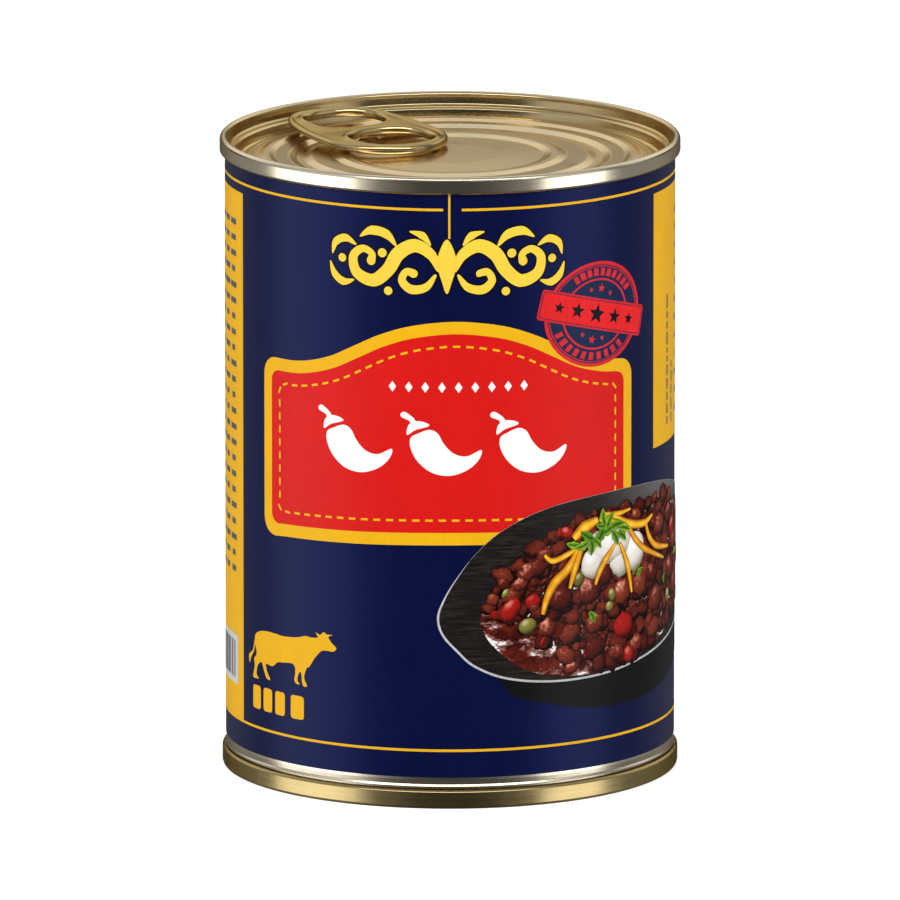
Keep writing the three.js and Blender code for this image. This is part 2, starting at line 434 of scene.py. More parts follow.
def sauce_finish():
    """Dark glossy sauce with pale broken reflections."""
    tree, shader, _ = new_finish("sauce_print", Roughness=0.36, Specular_IOR_Level=0.08)
    spot = attribute(tree, "spot")
    streaks = add(tree, "ShaderNodeMapping",
                  {"Vector": spot, "Rotation": (0, 0, math.radians(-48)),
                   "Scale": (300.0, 620.0, 1.0)}).outputs[0]
    shine = noise(tree, streaks, 0.62, 5.0, 0.7, "2D")
    depth = noise(tree, spot, 420.0, 4.0, 0.6)
    base = blend_colour(tree, fit(tree, depth, 0.35, 0.7), (0.026, 0.0012, 0.0005),
                        (0.12, 0.010, 0.0025))
    glow = blend_colour(tree, fit(tree, shine, 0.50, 0.56), base, (0.21, 0.095, 0.08))
    glint = blend_colour(tree, fit(tree, shine, 0.59, 0.64), glow, (0.78, 0.71, 0.69))
    feed(tree, shader.inputs, {"Base Color": glint})


def make_finishes():
    """Builds the shared effects, then every finish."""
    paper_fibre_group()
    print_ink_group()
    turned_grain_group()
    rubbed_group()
    painted_form_group()
    hue = colours()
    lacquer, tin = tuple(hue.lacquer), tuple(hue.tin)
    tab = tuple(part * share for part, share in zip(lacquer, (0.70, 0.66, 0.53)))
    deeper = tuple(part * share for part, share in zip(lacquer, (0.50, 0.48, 0.36)))
    # the lid: tin showing at the seam, with painted shade on the inner wall and in the
    # pressed channels
    metal_finish("lid_lacquer", lacquer, 0.17, tin, (36.7 * MM, 37.3 * MM), 0.07,
                 painted_wall_shade=(33.5, 36.5),
                 painted_channel_shade=((31.5, 33.4, 0.40), (26.5, 28.4, 0.34), (19.3, 22.3, 0.42)))
    metal_finish("tab_lacquer", tab, 0.18, fineness=1500.0)
    metal_finish("base_lacquer", deeper, 0.22, tuple(part * 1.1 for part in deeper),
                 (36.9 * MM, 37.2 * MM))
    metal_finish("body_tin", tin, 0.24, grain=0.05)
    ink_finish("navy_paper", hue.navy, 0.16, 0.34,
               Specular_Tint=(0.22, 0.30, 1.0, 1.0), Specular_IOR_Level=0.27)
    dim_white = tuple(part * 0.62 for part in hue.white)
    for name, rgb, unevenness, gloss in (
            ("yellow_ink", hue.yellow, 0.05, 0.42),
            ("pale_yellow_ink", hue.pale_yellow, 0.07, 0.42),
            ("red_ink", hue.red, 0.07, 0.40), ("stamp_ink", hue.stamp_red, 0.22, 0.42),
            ("banner_ink", (0.64, 0.008, 0.010), 0.14, 0.42),
            ("stamp_ground_ink", hue.stamp_blue, 0.2, 0.42),
            ("white_ink", hue.white, 0.04, 0.45), ("stripe_paper", dim_white, 0.08, 0.45),
            ("slate_ink", hue.slate, 0.15, 0.45),
            ("shadow_ink", (0.001, 0.0015, 0.010), 0.1, 0.42),
            ("rim_print", (0.40, 0.41, 0.42), 0.25, 0.42),
            ("foot_print", (0.0035, 0.0035, 0.004), 0.3, 0.42)):
        ink_finish(name, rgb, unevenness, gloss)
    plate_finish()
    sauce_finish()
    # each food: its dark, its two body colours, its light, its grain and its mottle
    for name, *look in (
            ("meat_print", (0.004, 0.0003, 0.0002), (0.085, 0.0045, 0.0015),
             (0.19, 0.026, 0.009), (0.60, 0.22, 0.14), 1300.0, 0.62),
            ("tomato_print", (0.035, 0.001, 0.0005), (0.30, 0.004, 0.002),
             (0.42, 0.010, 0.004), (0.80, 0.30, 0.22), 500.0, 0.3),
            ("bean_print", (0.018, 0.014, 0.003), (0.12, 0.105, 0.012),
             (0.22, 0.19, 0.03), (0.72, 0.68, 0.46), 400.0, 0.12),
            ("cream_print", (0.24, 0.21, 0.165), (0.60, 0.57, 0.50),
             (0.72, 0.69, 0.62), (0.84, 0.83, 0.80), 260.0, 0.10),
            ("cheese_print", (0.30, 0.085, 0.002), (0.70, 0.30, 0.003),
             (0.82, 0.44, 0.012), (0.92, 0.68, 0.16), 500.0, 0.12),
            ("herb_print", (0.010, 0.05, 0.001), (0.09, 0.26, 0.006),
             (0.24, 0.45, 0.015), (0.55, 0.72, 0.16), 700.0, 0.25)):
        painted_finish(name, *look)


def finish(name):
    return bpy.data.materials[name]


# ---- pieces -----------------------------------------------------------------------------
def place_piece(name, mesh, replaced=()):
    """Links a finished mesh, says its body, and hides what it stands for."""
    piece = bpy.data.objects.new(name, mesh)
    bpy.context.scene.collection.objects.link(piece)
    if replaced:
        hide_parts(*replaced)
    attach(piece, BODY)
    return piece


def through_tree(name, mesh, tree, values):
    """Runs a mesh through a geometry node tree and returns the plain result."""
    holder = bpy.data.objects.new(name + "_making", mesh)
    bpy.context.scene.collection.objects.link(holder)
    modifier = holder.modifiers.new("Making", "NODES")
    modifier.node_group = tree
    sockets = {item.name: item.identifier for item in tree.interface.items_tree
               if item.item_type == "SOCKET" and item.in_out == "INPUT"}
    for key, value in values.items():
        modifier[sockets[key]] = value
    holder.update_tag()
    graph = bpy.context.evaluated_depsgraph_get()
    made = bpy.data.meshes.new_from_object(holder.evaluated_get(graph))
    made.name = name
    holder.modifiers.remove(modifier)
    bpy.data.objects.remove(holder)
    if not made.polygons:
        raise RuntimeError(f"{name}: the tree made no faces")
    return made


def mesh_from(work, name, material=None):
    """Ends a bmesh as a mesh with its finish."""
    mesh = bpy.data.meshes.new(name)
    work.to_mesh(mesh)
    work.free()
    if material:
        mesh.materials.append(finish(material))
    return mesh


def point_at_outside(mesh):
    """Turns a closed mesh's faces outwards."""
    work = bmesh.new()
    work.from_mesh(mesh)
    bmesh.ops.recalc_face_normals(work, faces=work.faces)
    work.to_mesh(mesh)
    work.free()


# ---- turned pieces ----------------------------------------------------------------------
def turned_form_tree():
    """Turns a profile, a row of points (radius, 0, height), about the tin's axis."""
    tree, given, out = new_group(
        "Turned Form", "GeometryNodeTree",
        [("Geometry", GEOMETRY, None), ("Turns", INT, 240), ("Finish", MATERIAL, None)],
        [("Geometry", GEOMETRY)])
    count = geo(tree, "AttributeDomainSize", {0: given["Geometry"]})
    across = plus(tree, given["Turns"], 1.0)
    sheet = geo(tree, "MeshGrid", {"Vertices X": across, "Vertices Y": count})
    index = geo(tree, "InputIndex")
    row = func(tree, "IntegerMath", {0: index, 1: count}, operation="MODULO")
    column = func(tree, "IntegerMath", {0: index, 1: count}, operation="DIVIDE_FLOOR")
    share = calc(tree, "DIVIDE", column, given["Turns"])
    angle = times(tree, share, math.tau)
    position = geo(tree, "InputPosition")
    sampled = add(tree, "GeometryNodeSampleIndex",
                  {"Geometry": given["Geometry"], "Value": position, "Index": row},
                  data_type="FLOAT_VECTOR", domain="POINT").outputs["Value"]
    spun = add(tree, "ShaderNodeVectorRotate", {"Vector": sampled, "Angle": angle},
               rotation_type="Z_AXIS").outputs[0]
    formed = geo(tree, "SetPosition", {"Geometry": sheet, "Position": spun})
    merged = geo(tree, "MergeByDistance", {"Geometry": formed, "Distance": 2e-6})
    smooth = geo(tree, "SetShadeSmooth", {"Geometry": merged})
    whole = geo(tree, "RealizeInstances", {"Geometry": smooth})
    coated = geo(tree, "SetMaterial", {"Geometry": whole, "Material": given["Finish"]})
    tree.links.new(coated, out["Geometry"])
    return tree


GUARD = 0.05                    # from an arc's end to the guard point next to it
SHORTEST = 0.004                # points nearer than this are left out


def rounded(corners, steps):
    """Profile through (radius, height, rounding) corners, each corner an arc.

    Straight stretches get a guard point at each end, so that they shade flat."""
    made = []
    for index, (radius, height, rounding) in enumerate(corners):
        here = Vector((radius, height))
        if rounding <= 0 or index in (0, len(corners) - 1):
            made.append([here])
            continue
        before = Vector(corners[index - 1][:2]) - here
        after = Vector(corners[index + 1][:2]) - here
        half = before.angle(after) / 2
        if half > math.radians(89.5):
            made.append([here])
            continue
        reach = min(rounding / math.tan(half), before.length * 0.48, after.length * 0.48)
        start = here + before.normalized() * reach
        end = here + after.normalized() * reach
        middle = here + (before.normalized() + after.normalized()).normalized() * (
            reach / math.cos(half))
        arc = []
        first, last = start - middle, end - middle
        sweep = first.angle_signed(last)
        for step in range(steps + 1):
            turn = Matrix.Rotation(-sweep * step / steps, 2)
            arc.append(middle + turn @ first)
        made.append(arc)
    points = []
    for arc in made:
        if points:
            gap = arc[0] - points[-1]
            if gap.length > 4 * GUARD:
                points.append(points[-1] + gap.normalized() * GUARD)
                points.append(arc[0] - gap.normalized() * GUARD)
        points.extend(arc)
    kept = [points[0]]
    for point in points[1:]:
        if (point - kept[-1]).length > SHORTEST:
            kept.append(point)
    return kept


def turned_mesh(name, corners, material, turns, steps):
    """A closed turned form from its profile's corners, in millimetres."""
    profile = rounded(corners, steps)
    mesh = bpy.data.meshes.new(name + "_profile")
    mesh.from_pydata([(p.x * MM, 0, p.y * MM) for p in profile],
                     [(i, i + 1) for i in range(len(profile) - 1)], [])
    tree = bpy.data.node_groups.get("Turned Form") or turned_form_tree()
    made = through_tree(name, mesh, tree, {"Turns": turns, "Finish": finish(material)})
    point_at_outside(made)
    return made


def turned_piece(name, corners, material, replaced):
    """A turned piece that stands for a node of the frame."""
    made = turned_mesh(name, corners, material, sizes().turns, 6)
    return place_piece(name, made, replaced)


def bead(inner, outer, level, height):
    """A pressed ring's corners, from the outside in."""
    slope, rounding = 0.34 * (outer - inner), 0.9
    return [(outer, level, rounding), (outer - slope, level + height, rounding),
            (inner + slope, level + height, rounding), (inner, level, rounding)]


# rings pressed into the ends: where each starts and ends, and how high it stands
LID_BEADS = ((28.6, 31.2, 0.3), (22.6, 26.2, -0.4), (15.2, 19.0, 0.3))
BASE_BEADS = ((24.0, 27.6, 0.4), (14.0, 17.6, 0.4))
BASE_RECESS = 2.0               # the plain end's panel above the table


def make_lid():
    """The easy-open end: seam, stepped wall, countersink, score and pressed rings."""
    crest = sizes().seam_crest / MM
    outer = sizes().seam_radius / MM
    panel = crest - sizes().panel_depth / MM
    foot = LID_LOW.z / MM
    edge = foot + 2.2              # the seam's lower edge
    beads = [corner for inner, outside, height in LID_BEADS
             for corner in bead(inner, outside, panel, height)]
    score = [(32.35, panel, 0.04), (32.28, panel - 0.08, 0.02), (32.21, panel, 0.04)]
    corners = [
        (0, foot, 0), (36.4, foot, 0.05), (36.4, edge, 0.05), (37.2, edge, 0.12),
        (outer, edge + 0.35, 0.35), (outer, crest - 0.62, 0.4),
        (outer - 0.12, crest - 0.28, 0.3), (outer - 0.42, crest, 0.35),
        (outer - 0.9, crest, 0.35), (outer - 1.28, crest - 0.3, 0.3),
        (outer - 1.32, crest - 0.9, 0.3), (36.08, crest - 1.95, 0.25),
        (35.85, crest - 2.2, 0.2), (35.15, crest - 2.3, 0.2), (34.85, crest - 2.6, 0.2),
        (34.62, crest - 3.95, 0.25), (34.2, crest - 4.2, 0.3), (33.7, crest - 4.15, 0.3),
        (33.1, panel, 0.5), *score, *beads, (8.0, panel + 0.11, 6.0),
        (0, panel + 0.14, 0)]
    turned_piece("lid", corners, "lid_lacquer", ("top_end",))


def make_base():
    """The plain end: rolled seam, standing ring, recess and two pressed rings."""
    outer = sizes().base_radius / MM
    seam = sizes().base_seam / MM
    recess = BASE_RECESS
    beads = [corner for inner, outside, height in BASE_BEADS
             for corner in bead(inner, outside, recess, height)]
    corners = [
        (0, seam, 0), (36.85, seam, 0.1), (outer, seam - 0.32, 0.3), (outer, 0.45, 0.3),
        (outer - 0.12, 0.12, 0.15), (outer - 0.35, 0.0, 0.15), (36.25, 0.0, 0.2),
        (35.95, 0.4, 0.3), (35.4, recess - 0.3, 0.3), (34.6, recess - 0.9, 0.3),
        (33.8, recess - 0.8, 0.3), (33.0, recess, 0.4), *beads, (0, recess, 0)]
    turned_piece("base", corners, "base_lacquer", ("bottom_end",))


def make_body():
    """The tinplate body, belled out at its foot over a groove above the bottom seam."""
    low, high = BODY_LOW.z / MM, BODY_HIGH.z / MM
    radius = LABEL_HIGH.x / MM - 0.3
    corners = [
        (0, low, 0), (36.3, low, 0.02), (36.3, low + 0.26, 0.02),
        (36.8, low + 0.26, 0.08), (36.72, low + 0.5, 0.2), (36.55, low + 0.8, 0.5),
        (radius, low + 1.5, 1.0), (radius, high, 0.05), (0, high, 0)]
    turned_piece("body", corners, "body_tin", ("can_body",))


# ---- ring tab ---------------------------------------------------------------------------
TAB_MIDDLE = (-10.9, 7.9)       # the outline's widest place, in plan
TAB_TURN = math.radians(31.5)
TAB_LEAN = math.radians(2.3)
TAB_OUTLINE = dict(half=10.55, nose=20.9, ring=11.0, nose_power=2.8, ring_power=1.95)
NOSE_HOLE = dict(half=6.6, nose=5.7, ring=5.7, nose_power=2.4, ring_power=2.4, along=12.0)
FINGER_HOLE = dict(half=6.8, nose=5.95, ring=6.1, nose_power=2.4, ring_power=2.4,
                   along=-2.65)


WEB_DROP = 0.24                 # from the rim's level down to the web
RIM_WIDTH = 1.42
RIM_FOOT = -1.35                # the curled rim's underside
# the rim's section: how far in from its line, and how high
RIM_SECTION = [
    (RIM_WIDTH, -WEB_DROP), (1.28, -WEB_DROP * 0.97), (1.10, -WEB_DROP * 0.80),
    (0.95, -WEB_DROP * 0.35), (0.82, 0.02), (0.68, 0.11), (0.52, 0.13), (0.36, 0.08),
    (0.22, -0.03), (0.11, -0.18), (0.03, -0.37), (0.0, -0.58), (0.0, -0.78),
    (0.03, -0.96), (0.10, -1.11), (0.20, -1.23), (0.33, -1.31), (0.48, RIM_FOOT),
    (0.70, RIM_FOOT), (0.95, -1.30), (RIM_WIDTH, RIM_FOOT + 0.12)]
TAB_CREST = 1.3                 # the rim's level below the seam's crest
RIVET_ALONG = 4.85              # the rivet's place between the tab's holes


def clamped(value):
    return min(max(value, 0.0), 1.0)


def oval(half, nose, ring, nose_power, ring_power, along=0.0, count=144):
    """A superellipse with its own reach and power towards the nose and the ring."""
    points = []
    for index in range(count):
        angle = math.tau * index / count
        side, ahead = math.cos(angle), math.sin(angle)
        power = 2 / (nose_power if ahead > 0 else ring_power)
        reach = nose if ahead > 0 else ring
        points.append(Vector((half * math.copysign(abs(side) ** power, side),
                              along + reach * math.copysign(abs(ahead) ** power, ahead))))
    return evened(points, count)


def evened(points, count):
    """The closed line again, in count equal steps."""
    line = np.array([tuple(p) for p in points] + [tuple(points[0])])
    run = np.concatenate([[0], np.cumsum(np.linalg.norm(np.diff(line, axis=0), axis=1))])
    at = np.linspace(0, run[-1], count, endpoint=False)
    return [Vector(pair) for pair in zip(*(np.interp(at, run, line[:, axis])
                                           for axis in (0, 1)))]


def outward(loop):
    """Unit normals of a counter-clockwise closed line, pointing out of it."""
    count = len(loop)
    normals = []
    for index in range(count):
        tangent = (loop[(index + 1) % count] - loop[index - 1]).normalized()
        normals.append(Vector((tangent.y, -tangent.x)))
    return normals


def rim_height(form, height, inset, near, broad):
    """A rim point's height: the outer edge is pressed down to the web and the nose
    hole's rim fades out on its far side, as far as there is room."""
    on_top = height > -WEB_DROP * 1.2
    lift = height
    if form == "edge" and height > -0.9:
        lower = 0.30 * (height + 0.9) / 0.9
        lift = height + (min(height - lower, -WEB_DROP) - height) * broad
    if form == "half" and on_top and inset > 0.15:
        keep = clamped((near + 0.55) / 0.5)
        lift = min(height, -WEB_DROP + (height + WEB_DROP) * keep)
    if on_top and inset > 0.5:
        lift = lift * broad + 0.15 * (1 - broad)
    return lift


def rim_rings(work, loop, side, form, others):
    """Lays the rim's section along a line; returns its rings of points."""
    normals = outward(loop)
    middle = sum(loop, Vector((0, 0))) / len(loop)
    room = [min(1.0, 0.47 * min((point - far).length for far in others) / RIM_WIDTH)
            for point in loop]
    # how far the rim has room to fall to the web, evened along the loop
    breadth = [clamped((share - 0.58) / 0.36) for share in room]
    for _ in range(len(loop) // 2):
        breadth = [(breadth[index - 1] + value + breadth[(index + 1) % len(loop)]) / 3
                   for index, value in enumerate(breadth)]
    rings = []
    for inset, height in RIM_SECTION:
        ring = []
        for point, normal, share, broad in zip(loop, normals, room, breadth):
            spot = point + normal * inset * side * share
            near = (point.y - middle.y) / NOSE_HOLE["nose"]
            ring.append(work.verts.new(
                (spot.x, spot.y, rim_height(form, height, inset, near, broad))))
        rings.append(ring)
    return rings


def make_tab():
    """The ring tab: a web with a curled rim round its edge and round each hole."""
    # each loop: its line, the side its metal lies on, and how its rim is formed
    loops = [(oval(**TAB_OUTLINE), -1, "edge"), (oval(**NOSE_HOLE), 1, "half"),
             (oval(**FINGER_HOLE), 1, "curl")]
    work = bmesh.new()
    tops, bottoms = [], []
    for loop, side, form in loops:
        others = [point for other, *_ in loops if other is not loop for point in other]
        rings = rim_rings(work, loop, side, form, others)
        for first, second in zip(rings, rings[1:]):
            count = len(first)
            for index in range(count):
                after = (index + 1) % count
                work.faces.new((first[index], first[after], second[after], second[index]))
        tops.append(rings[0])
        bottoms.append(rings[-1])
    for group in (tops, bottoms):
        flat = [vert for ring in group for vert in ring]
        for corners in tessellate_polygon([[vert.co for vert in ring] for ring in group]):
            if len(set(corners)) == 3:
                work.faces.new([flat[index] for index in corners])
    bmesh.ops.recalc_face_normals(work, faces=work.faces)
    turn = Matrix.Rotation(TAB_TURN, 4, "Z") @ Matrix.Rotation(TAB_LEAN, 4, "X")
    top = sizes().seam_crest / MM - TAB_CREST
    work.transform(Matrix.Scale(MM, 4)
                   @ Matrix.Translation((*TAB_MIDDLE, top)) @ turn)
    for face in work.faces:
        face.smooth = True
    mesh = mesh_from(work, "tab", "tab_lacquer")
    place_piece("tab", mesh, ("ring_tab",))
    make_rivet()


def make_rivet():
    """The rivet boss that stands up from the panel and carries the tab."""
    spot = (TAB_MIDDLE[0] - RIVET_ALONG * math.sin(TAB_TURN),
            TAB_MIDDLE[1] + RIVET_ALONG * math.cos(TAB_TURN))
    panel = (sizes().seam_crest - sizes().panel_depth) / MM
    corners = [(0, panel - 0.3, 0), (2.6, panel - 0.3, 0.05), (2.6, panel, 0.3),
               (2.0, panel + 0.12, 0.3), (1.35, panel + 0.5, 0.2), (0, panel + 0.56, 0)]
    made = turned_mesh("rivet", corners, "tab_lacquer", 48, 4)
    made.transform(Matrix.Translation((spot[0] * MM, spot[1] * MM, 0)))
    place_piece("rivet", made)


# ---- flat artwork -----------------------------------------------------------------------
def smooth_line(points, steps=6, closed=True):
    """A smooth line through the points."""
    knots = [Vector(p) for p in points]
    count = len(knots)
    made = []
    for index in range(count if closed else count - 1):
        if closed:
            a, b, c, d = (knots[(index + k) % count] for k in (-1, 0, 1, 2))
        else:
            a, b, c, d = (knots[min(max(index + k, 0), count - 1)] for k in (-1, 0, 1, 2))
        for step in range(steps):
            t = step / steps
            made.append(0.5 * ((2 * b) + (c - a) * t + (2 * a - 5 * b + 4 * c - d) * t ** 2
                               + (3 * b - a - 3 * c + d) * t ** 3))
    if not closed:
        made.append(knots[-1])
    return made


def box_outline(left, low, right, high, rounding=0.0, steps=6):
    """A rectangle, with rounded corners where rounding is given."""
    if rounding <= 0:
        return [Vector(p) for p in ((left, low), (right, low), (right, high), (left, high))]
    made = []
    for x, y, start in ((right - rounding, low + rounding, -90),
                        (right - rounding, high - rounding, 0),
                        (left + rounding, high - rounding, 90),
                        (left + rounding, low + rounding, 180)):
        for step in range(steps + 1):
            angle = math.radians(start + 90 * step / steps)
            made.append(Vector((x + rounding * math.cos(angle),
                                y + rounding * math.sin(angle))))
    return made


def moved(outline, offset=(0, 0), turn=0.0, scale=(1, 1)):
    """An outline scaled, turned (degrees) and shifted."""
    spin = Matrix.Rotation(math.radians(turn), 2)
    made = [spin @ Vector((p[0] * scale[0], p[1] * scale[1])) + Vector(offset)
            for p in outline]
    return made[::-1] if scale[0] * scale[1] < 0 else made


def circle(radius, centre=(0, 0), count=72):
    return [Vector((centre[0] + radius * math.cos(math.tau * i / count),
                    centre[1] + radius * math.sin(math.tau * i / count)))
            for i in range(count)]


def star(centre, size, turn):
    """A five-pointed star."""
    made = []
    for index in range(10):
        reach = size * (0.42 if index % 2 else 1.0)
        angle = math.radians(turn + 36 * index)
        made.append(Vector((centre[0] + reach * math.cos(angle),
                            centre[1] + reach * math.sin(angle))))
    return made


def stroke(points, widths, steps=8):
    """The outline of a brush stroke: a smooth line with a width at each point."""
    line = smooth_line(points, steps, closed=False)
    spread = np.interp(np.linspace(0, len(points) - 1, len(line)), range(len(widths)),
                       widths)
    left, right = [], []
    for index, point in enumerate(line):
        ahead = line[min(index + 1, len(line) - 1)] - line[max(index - 1, 0)]
        side = Vector((-ahead.y, ahead.x)).normalized() * spread[index] / 2
        left.append(point + side)
        right.append(point - side)
    caps = []
    for at, edge in ((line[-1], right[-1]), (line[0], left[0])):
        caps.append([at + Matrix.Rotation(math.radians(30 * step), 2) @ (edge - at)
                     for step in range(1, 6)])
    return right + caps[0] + left[::-1] + caps[1]


def wrap_points(along, up, lift):
    """Flat artwork, in millimetres, wrapped round the label; lift is in metres."""
    radius = sizes().label_radius
    angle = np.asarray(along) * MM / radius
    reach = radius + np.asarray(lift)
    return np.stack([reach * np.sin(angle), -reach * np.cos(angle),
                     np.asarray(up) * MM * np.ones_like(angle)], axis=1)


def lie_flat(mesh):
    """Gives printed faces the label's own normals, so that ink shades as paper does."""
    count = len(mesh.vertices)
    points = np.empty(count * 3, np.float32)
    mesh.vertices.foreach_get("co", points)
    points = points.reshape(-1, 3)
    points[:, 2] = 0
    points /= np.linalg.norm(points, axis=1, keepdims=True)
    mesh.polygons.foreach_set("use_smooth", [True] * len(mesh.polygons))
    mesh.normals_split_custom_set_from_vertices(points.tolist())


def store(mesh, name, kind, values):
    attribute = mesh.attributes.new(name, kind, "POINT")
    key = "vector" if kind == "FLOAT_VECTOR" else "value"
    attribute.data.foreach_set(key, np.asarray(values, np.float32).ravel())


STRIP = 1.2                     # artwork is cut this narrow, so that it bends evenly


def flat_mesh(groups):
    """Triangles of the outlines: each group is an outer line, then its holes."""
    work = bmesh.new()
    for group in groups:
        loops = [[Vector((p[0], p[1], 0)) for p in loop] for loop in group]
        verts = [work.verts.new(p) for loop in loops for p in loop]
        for corners in tessellate_polygon(loops):
            if len(set(corners)) == 3:
                work.faces.new([verts[index] for index in corners])
    bmesh.ops.remove_doubles(work, verts=work.verts, dist=1e-4)
    bmesh.ops.dissolve_degenerate(work, edges=work.edges, dist=1e-4)
    for face in work.faces:
        face.normal_update()
        if face.normal.z < 0:
            face.normal_flip()
    low = min(v.co.x for v in work.verts)
    high = max(v.co.x for v in work.verts)
    for index in range(math.ceil(low / STRIP), math.ceil(high / STRIP)):
        bmesh.ops.bisect_plane(work, geom=work.verts[:] + work.edges[:] + work.faces[:],
                               plane_co=(index * STRIP, 0, 0), plane_no=(1, 0, 0),
                               dist=1e-5)
    bmesh.ops.triangulate(work, faces=work.faces)
    return work


def print_piece(name, groups, material, layer):
    """Prints outlines on the label, layer ink steps above the paper."""
    work = flat_mesh(groups)
    points = np.array([tuple(v.co) for v in work.verts])
    mesh = mesh_from(work, name, material)
    lift = layer * sizes().ink_step
    mesh.vertices.foreach_set(
        "co", wrap_points(points[:, 0], points[:, 1], lift).astype(np.float32).ravel())
    store(mesh, "spot", "FLOAT_VECTOR", points * MM)
    mesh.update()
    lie_flat(mesh)
    return place_piece(name, mesh)


# ---- artwork that repeats, in geometry nodes ---------------------------------------------
PICTURE_LIGHT = Vector((-0.35, 0.55, 0.76)).normalized()     # where the picture's light is
AMBIENT, DIRECT = 0.38, 0.62    # its shares in a morsel's shade


def wrap_tail(tree, shapes, given, out):
    """Ends a tree: makes the shapes real, keeps their flat place, wraps and coats them."""
    real = geo(tree, "RealizeInstances", {"Geometry": shapes})
    position = geo(tree, "InputPosition")
    kept = keep_value(tree, real, "spot", position, "FLOAT_VECTOR")
    parts = split(tree, position)
    angle = calc(tree, "DIVIDE", parts[0], given["Label Radius"])
    reach = plus(tree, plus(tree, given["Label Radius"], given["Lift"]), parts[2])
    side = times(tree, reach, calc(tree, "SINE", angle))
    front = times(tree, times(tree, reach, calc(tree, "COSINE", angle)), -1.0)
    place = xyz(tree, side, front, parts[1])
    wrapped = geo(tree, "SetPosition", {"Geometry": kept, "Position": place})
    whole = geo(tree, "RealizeInstances", {"Geometry": wrapped})
    coated = geo(tree, "SetMaterial", {"Geometry": whole, "Material": given["Finish"]})
    tree.links.new(coated, out["Geometry"])


WRAP_INPUTS = [("Label Radius", FLOAT, 0.0367), ("Lift", FLOAT, 0.0),
               ("Finish", MATERIAL, None)]


def wrapped_piece(name, mesh, tree, values, material, layer):
    """A piece of repeated artwork from its tree."""
    made = through_tree(name, mesh, tree, {
        **values, "Label Radius": sizes().label_radius,
        "Lift": layer * sizes().ink_step, "Finish": finish(material)})
    lie_flat(made)
    return place_piece(name, made)


def line_mesh(name, points, closed=True):
    mesh = bpy.data.meshes.new(name)
    count = len(points)
    last = count if closed else count - 1
    mesh.from_pydata([(p[0] * MM, p[1] * MM, 0) for p in points],
                     [(i, (i + 1) % count) for i in range(last)], [])
    return mesh


def stitch_tree():
    """Dashes laid at an even pitch along a line."""
    tree, given, out = new_group(
        "Stitch Line", "GeometryNodeTree",
        [("Geometry", GEOMETRY, None), ("Pitch", FLOAT, 0.0022), ("Dash", FLOAT, 0.0012),
         ("Width", FLOAT, 0.00035), *WRAP_INPUTS], [("Geometry", GEOMETRY)])
    curve = geo(tree, "MeshToCurve", {0: given["Geometry"]})
    run = geo(tree, "CurveLength", {0: curve})
    count = calc(tree, "ROUND", calc(tree, "DIVIDE", run, given["Pitch"]))
    spaced = geo(tree, "ResampleCurve", {"Curve": curve, "Count": count})
    tangent = geo(tree, "InputTangent")
    facing = func(tree, "AlignRotationToVector", {"Vector": tangent}, axis="X",
                  pivot_axis="Z")
    dash = geo(tree, "MeshGrid",
               {"Size X": given["Dash"], "Size Y": given["Width"], "Vertices X": 3,
                "Vertices Y": 2})
    laid = geo(tree, "InstanceOnPoints",
               {"Points": spaced, "Instance": dash, "Rotation": facing})
    wrap_tail(tree, laid, given, out)
    return tree


def word_rows_tree():
    """Rows of plain bars, of word-like lengths, ragged at the end."""
    tree, given, out = new_group(
        "Bar Rows", "GeometryNodeTree",
        [("Geometry", GEOMETRY, None), ("Left", FLOAT, 0.0), ("Top", FLOAT, 0.0),
         ("Columns", INT, 8), ("Rows", INT, 8), ("Column Pitch", FLOAT, 0.004),
         ("Row Pitch", FLOAT, 0.002), ("Bar Height", FLOAT, 0.0008), ("Seed", INT, 1),
         ("Shortest Row", FLOAT, 0.55), *WRAP_INPUTS], [("Geometry", GEOMETRY)])
    total = times(tree, given["Columns"], given["Rows"])
    points = geo(tree, "MeshLine", {"Count": total})
    index = geo(tree, "InputIndex")
    column = func(tree, "IntegerMath", {0: index, 1: given["Columns"]}, operation="MODULO")
    row = func(tree, "IntegerMath", {0: index, 1: given["Columns"]},
               operation="DIVIDE_FLOOR")
    x = plus(tree, given["Left"], times(tree, column, given["Column Pitch"]))
    y = minus(tree, given["Top"], times(tree, row, given["Row Pitch"]))
    spot = xyz(tree, x, y)
    laid = geo(tree, "SetPosition", {"Geometry": points, "Position": spot})
    ragged = drawn(tree, given["Shortest Row"], 1.05, given["Seed"], ID=row)
    stop = times(tree, ragged, given["Columns"])
    beyond = func(tree, "Compare", {0: column, 1: stop}, data_type="FLOAT",
                  operation="GREATER_EQUAL")
    kept = geo(tree, "DeleteGeometry", {"Geometry": laid, "Selection": beyond},
               domain="POINT")
    size = drawn(tree, 0.42, 0.86, plus(tree, given["Seed"], 7.0))
    width = times(tree, size, given["Column Pitch"])
    stretch = xyz(tree, width, given["Bar Height"], 1.0)
    bar = geo(tree, "MeshGrid",
              {"Size X": 1.0, "Size Y": 1.0, "Vertices X": 3, "Vertices Y": 2})
    bars = geo(tree, "InstanceOnPoints",
               {"Points": kept, "Instance": bar, "Scale": stretch})
    wrap_tail(tree, bars, given, out)
    return tree


